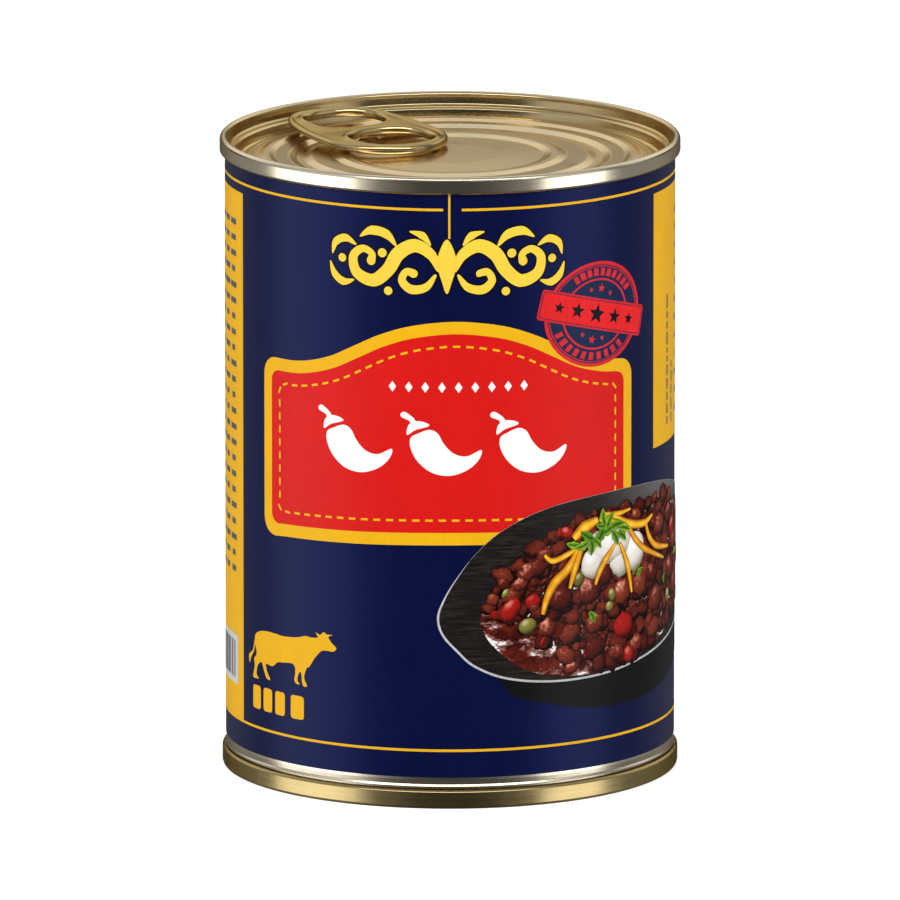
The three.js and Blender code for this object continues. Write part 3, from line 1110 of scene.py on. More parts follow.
def ring_tick_tree():
    """Bars set square to a ring, between two angles."""
    tree, given, out = new_group(
        "Ring Ticks", "GeometryNodeTree",
        [("Geometry", GEOMETRY, None), ("Centre", VECTOR, None), ("Reach", FLOAT, 0.007),
         ("From", FLOAT, 0.0), ("To", FLOAT, 3.0), ("Count", INT, 8),
         ("Tick", VECTOR, None), ("Squeeze", FLOAT, 1.0), *WRAP_INPUTS],
        [("Geometry", GEOMETRY)])
    points = geo(tree, "MeshLine", {"Count": given["Count"]})
    index = geo(tree, "InputIndex")
    share = calc(tree, "DIVIDE", index, minus(tree, given["Count"], 1.0))
    angle = plus(tree, given["From"],
                 times(tree, share, minus(tree, given["To"], given["From"])))
    arm = xyz(tree, times(tree, calc(tree, "COSINE", angle), given["Reach"]),
              times(tree, calc(tree, "SINE", angle), given["Reach"]))
    laid = geo(tree, "SetPosition", {"Geometry": points, "Position": arm})
    bar = geo(tree, "MeshGrid",
              {"Size X": 1.0, "Size Y": 1.0, "Vertices X": 2, "Vertices Y": 3})
    spin = xyz(tree, 0.0, 0.0, minus(tree, angle, math.pi / 2))
    parts = split(tree, given["Tick"])
    vary = drawn(tree, 0.7, 1.15, 5)
    scale = xyz(tree, times(tree, parts[0], vary), parts[1], 1.0)
    bars = geo(tree, "InstanceOnPoints",
               {"Points": laid, "Instance": bar, "Rotation": spin, "Scale": scale})
    stretch = xyz(tree, given["Squeeze"], 1.0, 1.0)
    real = geo(tree, "RealizeInstances", {"Geometry": bars})
    shifted = geo(tree, "Transform",
                  {"Geometry": real, "Translation": given["Centre"], "Scale": stretch})
    wrap_tail(tree, shifted, given, out)
    return tree


def heap_tree():
    """Scatters rounded or blocky morsels over a flat region.

    Each morsel's own slope is kept as its shade before the heap is pressed flat."""
    tree, given, out = new_group(
        "Morsel Heap", "GeometryNodeTree",
        [("Geometry", GEOMETRY, None), ("Spacing", FLOAT, 0.001),
         ("Density", FLOAT, 200000.0), ("Smallest", FLOAT, 0.0008),
         ("Largest", FLOAT, 0.0016), ("Roundness", FLOAT, 1.0), ("Length", FLOAT, 1.3),
         ("Raggedness", FLOAT, 0.3), ("Press", FLOAT, 0.06), ("Seed", INT, 1),
         *WRAP_INPUTS], [("Geometry", GEOMETRY)])
    points = geo(tree, "DistributePointsOnFaces",
                 {"Mesh": given["Geometry"], "Distance Min": given["Spacing"],
                  "Density Max": given["Density"], "Seed": given["Seed"]},
                 distribute_method="POISSON")
    ball = geo(tree, "MeshIcoSphere", {"Radius": 1.0, "Subdivisions": 3})
    block = geo(tree, "MeshCube",
                {"Size": (1.5, 1.5, 1.5), "Vertices X": 4, "Vertices Y": 4,
                 "Vertices Z": 4})
    is_round = func(tree, "Compare", {0: given["Roundness"], 1: 0.5}, data_type="FLOAT",
                    operation="GREATER_THAN")
    shape = geo(tree, "Switch", {"Switch": is_round, "False": block, "True": ball},
                input_type="GEOMETRY")

    def draw(low, high, step):
        return drawn(tree, low, high, plus(tree, given["Seed"], step))

    size = draw(given["Smallest"], given["Largest"], 3.0)
    longer = times(tree, size, draw(1.0, given["Length"], 5.0))
    scale = xyz(tree, longer, size, size)
    turn = xyz(tree, draw(-0.7, 0.7, 9.0), draw(-0.7, 0.7, 11.0), draw(0.0, math.tau, 13.0))
    toned = keep_value(tree, points, "tone", draw(0.0, 1.0, 17.0))
    heap = geo(tree, "InstanceOnPoints",
               {"Points": toned, "Instance": shape, "Rotation": turn, "Scale": scale})
    real = geo(tree, "RealizeInstances", {"Geometry": heap})
    position = geo(tree, "InputPosition")
    lumps = add(tree, "ShaderNodeTexNoise",
                {"Vector": position, "Scale": 700.0, "Detail": 2.0}).outputs["Color"]
    centred = vector_calc(tree, {0: lumps, 1: (0.5, 0.5, 0.5)}, operation="SUBTRACT")
    push = times(tree, given["Raggedness"], given["Largest"])
    offset = vector_calc(tree, {0: centred, 3: push}, operation="SCALE")
    ragged = geo(tree, "SetPosition", {"Geometry": real, "Offset": offset})
    normal = geo(tree, "InputNormal")
    facing = add(tree, "ShaderNodeVectorMath", {0: normal, 1: PICTURE_LIGHT},
                 operation="DOT_PRODUCT").outputs[1]
    parts = split(tree, position)
    raised = calc(tree, "DIVIDE", parts[2], given["Largest"], clamp=True)
    lit = times(tree, plus(tree, times(tree, facing, DIRECT), AMBIENT),
                plus(tree, 0.35, times(tree, raised, 0.65)))
    shaded = keep_value(tree, ragged, "shade", lit)
    under = func(tree, "Compare", {0: parts[2], 1: 0.00002}, data_type="FLOAT",
                 operation="LESS_THAN")
    open_heap = geo(tree, "DeleteGeometry", {"Geometry": shaded, "Selection": under},
                    domain="POINT")
    low = times(tree, parts[2], given["Press"])
    place = xyz(tree, parts[0], parts[1], low)
    pressed = geo(tree, "SetPosition", {"Geometry": open_heap, "Position": place})
    wrap_tail(tree, pressed, given, out)
    return tree


# ---- the label's paper and its printing --------------------------------------------------
BACK = math.pi * LABEL_HIGH.x / MM       # half the paper's length: where its ends meet
PAPER = 0.25                             # its thickness
LAP = 7.5                                # how far its glued-down end runs back
LINE_LOW, LINE_HIGH, LINE_WIDTH = 9.6, 98.95, 0.42


def make_label():
    """The paper sleeve, and the lapped end that is glued down at the back."""
    low, high = sizes().label_low / MM, sizes().label_high / MM
    outer = sizes().label_radius / MM
    inner = outer - PAPER
    corners = [(inner, low, 0), (outer, low, 0.03), (outer, high, 0.03),
               (inner, high, 0), (inner, low, 0)]
    turned_piece("label_paper", corners, "navy_paper", ("label",))
    work = flat_mesh([[box_outline(BACK - LAP, low + 0.02, BACK, high - 0.02, 0.5)]])
    lap = bmesh.ops.extrude_face_region(work, geom=work.faces[:])
    raised = {v for v in lap["geom"] if isinstance(v, bmesh.types.BMVert)}
    for vert in work.verts:
        lift = 0.10 if vert in raised else -0.02
        vert.co = wrap_points([vert.co.x], [vert.co.y], [lift * MM])[0]
    bmesh.ops.recalc_face_normals(work, faces=work.faces)
    place_piece("label_lap", mesh_from(work, "label_lap", "navy_paper"))


def make_lines():
    """The gold lines round the top and the foot, and the short upright one."""
    half, stop = LINE_WIDTH / 2, BACK - LAP - 0.1
    low = [[box_outline(-BACK, LINE_LOW - half, stop, LINE_LOW + half)]]
    high = [[box_outline(-BACK, LINE_HIGH - half, -1.1, LINE_HIGH + half)],
            [box_outline(1.9, LINE_HIGH - half, stop, LINE_HIGH + half)]]
    stem = [[box_outline(-0.28, 94.2, 0.06, sizes().label_high / MM - 0.05)]]
    print_piece("gold_lines", low + high + stem, "yellow_ink", 2)


def make_side_panels():
    """The yellow side panels with rows of plain bars and a striped patch."""
    print_piece("left_panel", [[box_outline(-90.0, LINE_LOW, -42.5, 97.3)]],
                "yellow_ink", 1)
    print_piece("right_panel", [[box_outline(41.1, 55.3, 88.0, 97.5)]],
                "yellow_ink", 1)
    tree = word_rows_tree()
    # each block: its left and top, bars across and down, their pitches, a bar's
    # height, the seed, and the least share of a row that is filled
    blocks = [("left_rows", -86.0, 92.0, 11, 23, 3.9, 2.62, 0.95, 4, 0.95),
              ("left_foot_rows", -86.0, 27.5, 4, 5, 4.0, 2.62, 0.95, 9, 0.55),
              ("right_rows", 55.0, 92.6, 8, 12, 4.0, 3.0, 1.0, 12, 0.55)]
    for name, left, top, columns, rows, across, down, height, seed, least in blocks:
        wrapped_piece(name, line_mesh(name, [(0, 0), (1, 0)], False), tree, {
            "Left": left * MM, "Top": top * MM, "Columns": columns, "Rows": rows,
            "Column Pitch": across * MM, "Row Pitch": down * MM,
            "Bar Height": height * MM, "Seed": seed, "Shortest Row": least},
            "slate_ink", 2)
    draw = random.Random(3)
    columns = []
    bar_width, gap, least = 0.75, 0.45, 0.6
    for left, low, high in ((47.1, 58.2, 79.8), (50.0, 58.0, 69.0)):
        up = low
        while up < high - least:
            reach = min(up + draw.uniform(0.9, 2.4), high)
            columns.append([box_outline(left, up, left + bar_width, reach, 0.1, 2)])
            up = reach + gap
    print_piece("right_columns", columns, "slate_ink", 2)
    print_piece("stripe_ground", [[box_outline(-64.0, 15.2, -44.9, 23.4, 0.4)]],
                "stripe_paper", 2)
    stripes, at, end = [], -62.8, -46.4
    while at < end:
        width = draw.choice((0.28, 0.28, 0.5, 0.78))
        stripes.append([box_outline(at, 16.2, at + width, 22.4)])
        at += width + draw.choice((0.3, 0.45, 0.7))
    print_piece("stripes", stripes, "slate_ink", 3)


def plaque_outline(inset):
    """The crested plaque's outline, set in by a distance."""
    middle, left, right = 1.0, -35.3 + inset, 34.1 - inset
    crest = [(-33.0, 72.0), (-28.5, 72.15), (-24.6, 72.85), (-21.0, 74.0), (-17.5, 75.7),
             (-12.5, 78.1), (-7.0, 79.8), (0.0, 80.55)]
    crest += [(-x, y) for x, y in crest[-2::-1]]
    top = smooth_line([(middle + x, y) for x, y in crest], 6, closed=False)[::-1]
    foot = smooth_line([(-36.0, 42.4), (-17.0, 43.2), (0.0, 43.65), (17.0, 43.3),
                        (35.0, 42.5)], 8, closed=False)
    corner = max(3.0 - inset * 0.6, 0.6)

    def level(line, x):
        ordered = sorted(line, key=lambda p: p.x)
        return float(np.interp(x, [p.x for p in ordered], [p.y for p in ordered]))

    def turn(x, y, start):
        return [Vector((x + corner * math.cos(math.radians(start + step * 15)),
                        y + corner * math.sin(math.radians(start + step * 15))))
                for step in range(7)]

    def set_in(line, side):
        made = []
        for index, point in enumerate(line):
            ahead = line[min(index + 1, len(line) - 1)] - line[max(index - 1, 0)]
            normal = Vector((-ahead.y, ahead.x)).normalized() * side
            made.append(point + normal * inset)
        return [p for p in made if left + corner < p.x < right - corner]

    low = level(foot, left) + inset
    low_right = level(foot, right) + inset
    high = 72.0 - inset
    return (turn(left + corner, low + corner, 180) + set_in(foot, 1)
            + turn(right - corner, low_right + corner, -90)
            + turn(right - corner, high - corner, 0) + set_in(top, 1)
            + turn(left + corner, high - corner, 90))


def make_plaque():
    """The crested plaque: yellow border, red field and a stitched line."""
    border, stitch = 2.05, 4.1      # how far in the field and the stitches lie
    print_piece("plaque_border", [[plaque_outline(0.0)]], "yellow_ink", 1)
    print_piece("plaque_field", [[plaque_outline(border)]], "red_ink", 2)
    wrapped_piece("plaque_stitch",
                  line_mesh("stitch_line", evened(plaque_outline(stitch), 400)),
                  stitch_tree(), {"Pitch": 2.15 * MM, "Dash": 1.2 * MM,
                                  "Width": 0.36 * MM}, "yellow_ink", 3)


def pepper():
    """A chilli pepper, about 11 high: its pod, cap and stalk."""
    pod = smooth_line([(-5.1, 2.0), (-3.9, 2.9), (-2.0, 3.7), (-0.6, 3.0), (0.4, 1.0),
                       (2.0, -0.9), (4.2, -1.5), (6.6, -0.3), (6.2, -2.2), (4.3, -4.2),
                       (1.4, -5.3), (-1.6, -4.7), (-3.9, -2.6), (-5.1, 0.0)], 6)
    cap = smooth_line([(-5.7, 2.6), (-4.3, 3.6), (-2.0, 4.5), (-2.9, 5.2), (-4.4, 5.3),
                       (-5.5, 4.4)], 6)
    stalk = stroke([(-4.6, 4.8), (-5.0, 5.7), (-6.2, 6.5)], [1.1, 0.9, 1.25], 6)
    return [[pod[::-1]], [cap[::-1]], [stalk]]


def make_white_shapes():
    """White peppers across the plaque, under a row of small lozenges."""
    groups = []
    for x in (-16.0, -1.4, 13.2):
        groups += [[moved(loop, (x, 59.6), 0, (0.98, 0.84)) for loop in group]
                   for group in pepper()]
    print_piece("white_peppers", groups, "white_ink", 3)
    lozenges = []
    wide, high, level = 0.62, 0.88, 69.7
    for index in range(9):
        x = -9.4 + index * 2.7
        lozenges.append([[Vector((x + wide, level)), Vector((x, level + high)),
                          Vector((x - wide, level)), Vector((x, level - high))]])
    print_piece("white_lozenges", lozenges, "white_ink", 3)


def ornament_strokes():
    """Strokes of the scrolled ornament's right half, about its middle."""
    return [
        ([(1.3, -0.6), (2.6, 1.9), (5.2, 3.3), (7.9, 1.9), (9.6, -0.8), (12.1, -2.7),
          (15.0, -1.6), (15.6, 1.0), (14.0, 2.4), (12.4, 1.7), (12.5, 0.5)],
         [0.8, 1.7, 2.2, 2.3, 2.2, 2.1, 1.8, 1.5, 1.2, 1.1, 1.5]),
        ([(1.9, -1.6), (3.4, -3.5), (5.8, -3.9), (7.3, -2.5), (6.6, -1.0), (5.4, -1.3)],
         [0.5, 1.3, 1.5, 1.3, 1.1, 1.4]),
        ([(8.3, 3.2), (9.9, 5.0), (12.4, 5.5), (14.4, 4.4)], [0.3, 1.5, 1.5, 0.2]),
        ([(15.2, 3.0), (17.0, 3.9), (18.8, 3.1), (19.4, 1.2)], [0.3, 1.3, 1.2, 0.2]),
        ([(15.6, -2.9), (17.4, -3.3), (19.0, -2.2), (19.8, -0.2)], [0.3, 1.3, 1.2, 0.2]),
        ([(2.7, 3.5), (4.0, 5.0), (6.0, 5.6)], [0.3, 1.3, 0.2]),
    ]


def make_ornament():
    """The scrolled ornament under the top line, pale yellow with a dark edge."""
    middle, level = -0.5, 89.7
    ink, edge = [], []
    for points, widths in ornament_strokes():
        for flip in (1, -1):
            for grown, groups in ((0.0, ink), (0.55, edge)):
                line = stroke([(x * flip, y) for x, y in points],
                              [w + grown for w in widths])
                groups.append([moved(line, (middle, level))])
    bud = smooth_line([(0, 4.4), (1.2, 2.4), (1.5, 0.0), (0.8, -2.6), (0, -4.6),
                       (-0.8, -2.6), (-1.5, 0.0), (-1.2, 2.4)], 6)
    ink.append([moved(bud, (middle, level))])
    edge.append([moved(bud, (middle, level), 0, (1.2, 1.08))])
    for flip in (1, -1):
        for x, y, size in ((10.6, 1.9, 0.75), (17.6, 0.6, 0.7), (9.6, -4.3, 0.7)):
            for grown, groups in ((0.0, ink), (0.27, edge)):
                groups.append([circle(size + grown, (middle + x * flip, level + y), 24)])
    print_piece("ornament_edge", edge, "shadow_ink", 1)
    print_piece("ornament", ink, "pale_yellow_ink", 2)


STAMP_MIDDLE = (25.8, 80.1)
STAMP_SQUEEZE = 1.17            # the stamp is a little wider than it is high
STAMP_TILT = -14.0


def make_stamp():
    """The round stamp: rings, ticks, stars and a tilted banner."""
    def on_label(loop):
        return moved(loop, STAMP_MIDDLE, 0, (STAMP_SQUEEZE, 1.0))

    def ring(outer, width):
        return [on_label(circle(outer)), on_label(circle(outer - width)[::-1])]

    print_piece("stamp_ground", [[on_label(circle(8.45))]], "stamp_ground_ink", 3)
    rings = [ring(8.65, 0.55), ring(7.92, 0.15), ring(5.85, 0.32)]
    for side in (1, -1):
        for x, y, size in ((-2.1, 3.7, 0.5), (0.0, 4.25, 0.78), (2.1, 3.7, 0.5)):
            spot = moved([(x, y * side)], STAMP_MIDDLE, STAMP_TILT)[0]
            rings.append([star(spot, size, 90 + STAMP_TILT)])
    print_piece("stamp_rings", rings, "stamp_ink", 4)
    tree = ring_tick_tree()
    for name, start, stop in (("stamp_top_ticks", 120, 32), ("stamp_low_ticks", 203, 308)):
        wrapped_piece(name, line_mesh(name, [(0, 0), (1, 0)], False), tree, {
            "Centre": (STAMP_MIDDLE[0] * MM, STAMP_MIDDLE[1] * MM, 0),
            "Reach": 6.9 * MM, "From": math.radians(start), "To": math.radians(stop),
            "Count": 10, "Tick": (0.78 * MM, 1.25 * MM, 0), "Squeeze": STAMP_SQUEEZE},
            "stamp_ink", 4)
    reach, half = 11.3, 2.55

    def plate(inset, rounding):
        return moved(box_outline(inset - reach, inset - half, reach - inset, half - inset,
                                 rounding), STAMP_MIDDLE, STAMP_TILT)

    print_piece("banner_gap", [[plate(0.0, 0.6)]], "stamp_ground_ink", 5)
    print_piece("banner_edge", [[plate(0.0, 0.6), plate(0.32, 0.45)[::-1]]],
                "stamp_ink", 6)
    print_piece("banner_face", [[plate(0.44, 0.35)]], "banner_ink", 6)
    marks = [[star(moved([(x, 0.0)], STAMP_MIDDLE, STAMP_TILT)[0], size, 90 + STAMP_TILT)]
             for x, size in ((-7.6, 1.05), (-4.0, 1.4), (0.0, 1.75), (4.0, 1.4),
                             (7.6, 1.05))]
    print_piece("banner_stars", marks, "shadow_ink", 7)


def make_cow():
    """The grazing animal's silhouette and the plain bars under it."""
    body = [(-8.2, 1.4), (-8.3, 2.7), (-7.6, 3.5), (-6.1, 4.0), (-4.5, 4.2), (-2.5, 4.2),
            (-0.6, 4.1), (0.9, 4.2), (2.7, 4.4), (4.6, 4.9), (5.6, 4.8), (6.7, 4.9),
            (7.1, 5.1), (6.7, 5.8), (7.5, 5.5), (8.3, 6.0), (8.9, 5.7), (10.0, 5.7),
            (9.2, 5.3), (9.8, 4.4), (10.7, 3.6), (10.1, 3.0), (8.9, 3.0), (7.8, 2.8),
            (6.6, 1.6), (5.8, 0.5), (5.3, -0.2), (4.9, -0.3), (4.4, -1.4), (4.3, -2.3),
            (4.9, -3.4), (4.1, -3.5), (3.8, -2.8), (3.7, -1.7), (3.4, -1.2), (3.0, -1.8),
            (2.8, -2.7), (3.3, -3.3), (2.5, -3.3), (2.1, -2.7), (2.3, -1.9), (2.3, -0.8),
            (1.9, -0.2), (1.0, -0.1), (-0.5, -0.3), (-1.9, -0.5), (-2.7, -1.1),
            (-3.4, -1.4), (-4.2, -1.3), (-5.0, -1.3), (-4.7, -2.4), (-3.8, -3.7),
            (-4.7, -3.7), (-5.2, -3.1), (-5.7, -2.2), (-6.3, -1.2), (-7.4, -1.9),
            (-7.7, -2.8), (-7.8, -3.5), (-7.1, -4.1), (-8.7, -4.2), (-8.9, -3.8),
            (-8.6, -2.9), (-8.4, -1.9), (-8.6, -1.0), (-7.8, -0.2), (-7.9, 0.6)]
    tail = stroke([(-8.1, 2.4), (-8.5, 1.3), (-8.8, 0.3), (-9.5, -0.4), (-10.0, -0.9),
                   (-10.1, -1.9)], [0.4, 0.35, 0.35, 0.6, 0.85, 0.15], 6)
    middle = (-30.0, 21.9)
    print_piece("cow", [[moved(smooth_line(body, 4), middle)], [moved(tail, middle)]],
                "yellow_ink", 2)
    bars = []
    for index, width in enumerate((2.4, 2.4, 2.4, 2.9)):
        left = -38.9 + index * 3.2 + (0.6 if index == 3 else 0.0)
        bars.append([box_outline(left, 12.7, left + width, 16.6, 0.55, 4)])
    print_piece("foot_bars", bars, "yellow_ink", 2)


# ---- the pictured bowl --------------------------------------------------------------------
# outlines on the label: the plate, its foot, the sauce, and where the stew is heaped
PLATE = [(-2.1, 31.8), (-0.9, 35.0), (1.0, 38.1), (4.0, 42.0), (8.0, 45.5), (13.5, 48.2),
         (20.1, 49.7), (31.0, 50.3), (42.7, 49.7), (54.0, 47.4), (63.0, 43.4),
         (68.2, 38.4), (68.8, 33.4), (64.5, 28.3), (55.0, 24.4), (45.0, 22.3),
         (35.0, 20.9), (26.4, 20.1), (17.2, 20.1), (9.2, 21.2), (3.9, 23.4), (1.0, 26.0),
         (-1.4, 28.8)]
FOOT = [(8.6, 22.5), (9.4, 19.8), (10.8, 18.1), (15.9, 16.8), (22.0, 15.4), (28.7, 14.7),
        (37.7, 14.9), (47.0, 16.2), (55.0, 18.6), (61.0, 22.6), (62.0, 26.5), (45.0, 26.0),
        (26.0, 24.0)]
CHILLI = [(5.0, 31.4), (6.4, 35.3), (9.6, 39.2), (13.9, 42.6), (19.7, 45.3), (24.5, 47.2),
          (29.5, 47.6), (36.0, 47.0), (43.0, 47.4), (50.0, 45.6), (57.0, 42.0),
          (61.5, 37.5), (62.0, 33.0), (57.0, 28.4), (48.0, 24.9), (38.0, 22.3),
          (29.0, 20.9), (22.0, 20.7), (16.0, 21.4), (11.2, 23.3), (7.6, 26.2),
          (5.6, 28.8)]
HEAPED = [(6.4, 33.2), (9.6, 39.2), (13.9, 42.6), (19.7, 45.3), (24.5, 47.0),
          (36.0, 46.6), (44.0, 47.2), (50.0, 45.4), (57.0, 41.6), (61.0, 37.0),
          (61.0, 33.0), (56.0, 28.4), (47.0, 25.4), (38.0, 23.2), (30.0, 22.2),
          (24.0, 22.6), (18.6, 25.0), (14.2, 28.2), (10.0, 30.4)]


def form_piece(name, forms, material, layer):
    """Forms are lists of (points, faces, shades, tone): points are flat, with height."""
    points, faces, shades, tones = [], [], [], []
    for form, members, shade, tone in forms:
        start = len(points)
        points += form
        faces += [tuple(start + index for index in member) for member in members]
        shades += shade
        tones += [tone] * len(form)
    flat = np.array(points)
    mesh = bpy.data.meshes.new(name)
    place = wrap_points(flat[:, 0], flat[:, 1],
                        layer * sizes().ink_step + flat[:, 2] * MM)
    mesh.from_pydata(place.tolist(), [], faces)
    store(mesh, "spot", "FLOAT_VECTOR", flat * MM)
    store(mesh, "shade", "FLOAT", shades)
    store(mesh, "tone", "FLOAT", tones)
    mesh.update()
    lie_flat(mesh)
    mesh.materials.append(finish(material))
    return place_piece(name, mesh)


def dome(centre, half_wide, half_high, turn=0.0, tone=0.5, height=0.10, lobes=0.0,
         gain=1.0, draw=None):
    """A rounded morsel, lit from the upper left, as a form."""
    around, rings = 22, 6
    spin = math.radians(turn)
    wobble = [1.0 + (draw.uniform(-lobes, lobes) if draw else 0.0) for _ in range(around)]
    points, shades, faces = [(centre[0], centre[1], height)], [], []
    shades.append(AMBIENT + DIRECT * PICTURE_LIGHT.z)
    for ring in range(1, rings + 1):
        share = ring / rings
        for step in range(around):
            angle = math.tau * step / around
            reach = share * (1 + (wobble[step] - 1) * share)
            x, y = half_wide * reach * math.cos(angle), half_high * reach * math.sin(angle)
            points.append((centre[0] + x * math.cos(spin) - y * math.sin(spin),
                           centre[1] + x * math.sin(spin) + y * math.cos(spin),
                           height * math.sqrt(max(1 - share * share, 0.0))))
            up = math.sqrt(max(1 - share ** 2.4, 0.0))
            normal = Vector((share * math.cos(angle + spin),
                             share * math.sin(angle + spin), up)).normalized()
            shades.append((AMBIENT + DIRECT * normal.dot(PICTURE_LIGHT)) * gain)
    for step in range(around):
        after = (step + 1) % around
        faces.append((0, 1 + step, 1 + after))
        for ring in range(rings - 1):
            inner, outer = 1 + ring * around, 1 + (ring + 1) * around
            faces.append((inner + step, outer + step, outer + after, inner + after))
    return points, faces, shades, tone


def strand(points, widths, tone=0.5, height=0.08, across=(0.25, 0.62, 0.95, 1.02, 0.72, 0.4)):
    """A round strand or a leaf along a smooth line, as a form."""
    line = smooth_line(points, 6, closed=False)
    spread = np.interp(np.linspace(0, len(points) - 1, len(line)), range(len(widths)),
                       widths)
    columns = len(across)
    made, shades, faces = [], [], []
    for index, point in enumerate(line):
        ahead = line[min(index + 1, len(line) - 1)] - line[max(index - 1, 0)]
        side = Vector((-ahead.y, ahead.x)).normalized()
        for column, shade in enumerate(across):
            off = (column / (columns - 1) - 0.5) * spread[index]
            rise = height * (1 - (2 * column / (columns - 1) - 1) ** 2)
            flat = point - side * off
            made.append((flat.x, flat.y, rise + height * 0.4))
            shades.append(shade * (0.92 + 0.08 * math.sin(index * 1.3)))
    for index in range(len(line) - 1):
        for column in range(columns - 1):
            first = index * columns + column
            faces.append((first, first + 1, first + columns + 1, first + columns))
    return made, faces, shades, tone


def region_mesh(name, outline):
    """A flat region, in metres, for scattering over."""
    work = flat_mesh([[smooth_line(outline, 4)]])
    work.transform(Matrix.Scale(MM, 4))
    return mesh_from(work, name)


def inset_ring(outline, width, keep=lambda point: 1.0):
    """A closed band inside an outline, its width scaled by keep at each point."""
    normals = outward(outline)
    inner = [p - n * width * keep(p) for p, n in zip(outline, normals)]
    return [outline, inner[::-1]]


def make_plate():
    """The pictured plate: foot, dark face, and a pale rim along its near edge."""
    line = smooth_line(PLATE, 8)[::-1]
    print_piece("picture_foot", [[smooth_line(FOOT, 6)]], "foot_print", 4)
    print_piece("picture_plate", [[line]], "plate_print", 5)

    def keep(point):
        near = min(max((41.0 - point.y) / 9.0, 0.0), 1.0)
        return 0.10 + 0.90 * near

    print_piece("picture_rim", [inset_ring(line, 0.36, keep)], "rim_print", 6)
    print_piece("picture_sauce", [[smooth_line(CHILLI, 6)[::-1]]], "sauce_print", 7)


def make_heap():
    """The pictured stew: crumbs, meat, tomato and beans, scattered and pressed flat."""
    tree = heap_tree()
    # each heap: its region, finish and layer, the spacing, the least and greatest
    # radius, round or blocky, how much longer than wide, raggedness and seed
    heaps = [
        ("picture_crumbs", HEAPED, "meat_print", 8, 1.1, 0.55, 0.95, 1, 1.5, 0.7, 21),
        ("picture_meat", HEAPED, "meat_print", 10, 2.6, 1.1, 1.9, 1, 1.5, 0.9, 5),
        ("picture_tomato", HEAPED, "tomato_print", 12, 8.5, 0.6, 1.0, 0, 1.35, 0.5, 14),
    ]
    for (name, region, material, layer, spacing, least, most, roundness, stretch,
         ragged, seed) in heaps:
        wrapped_piece(name, region_mesh(name, region), tree, {
            "Spacing": spacing * MM, "Density": 4e6, "Smallest": least * MM,
            "Largest": most * MM, "Roundness": float(roundness), "Length": stretch,
            "Raggedness": ragged, "Press": 0.05, "Seed": seed}, material, layer)


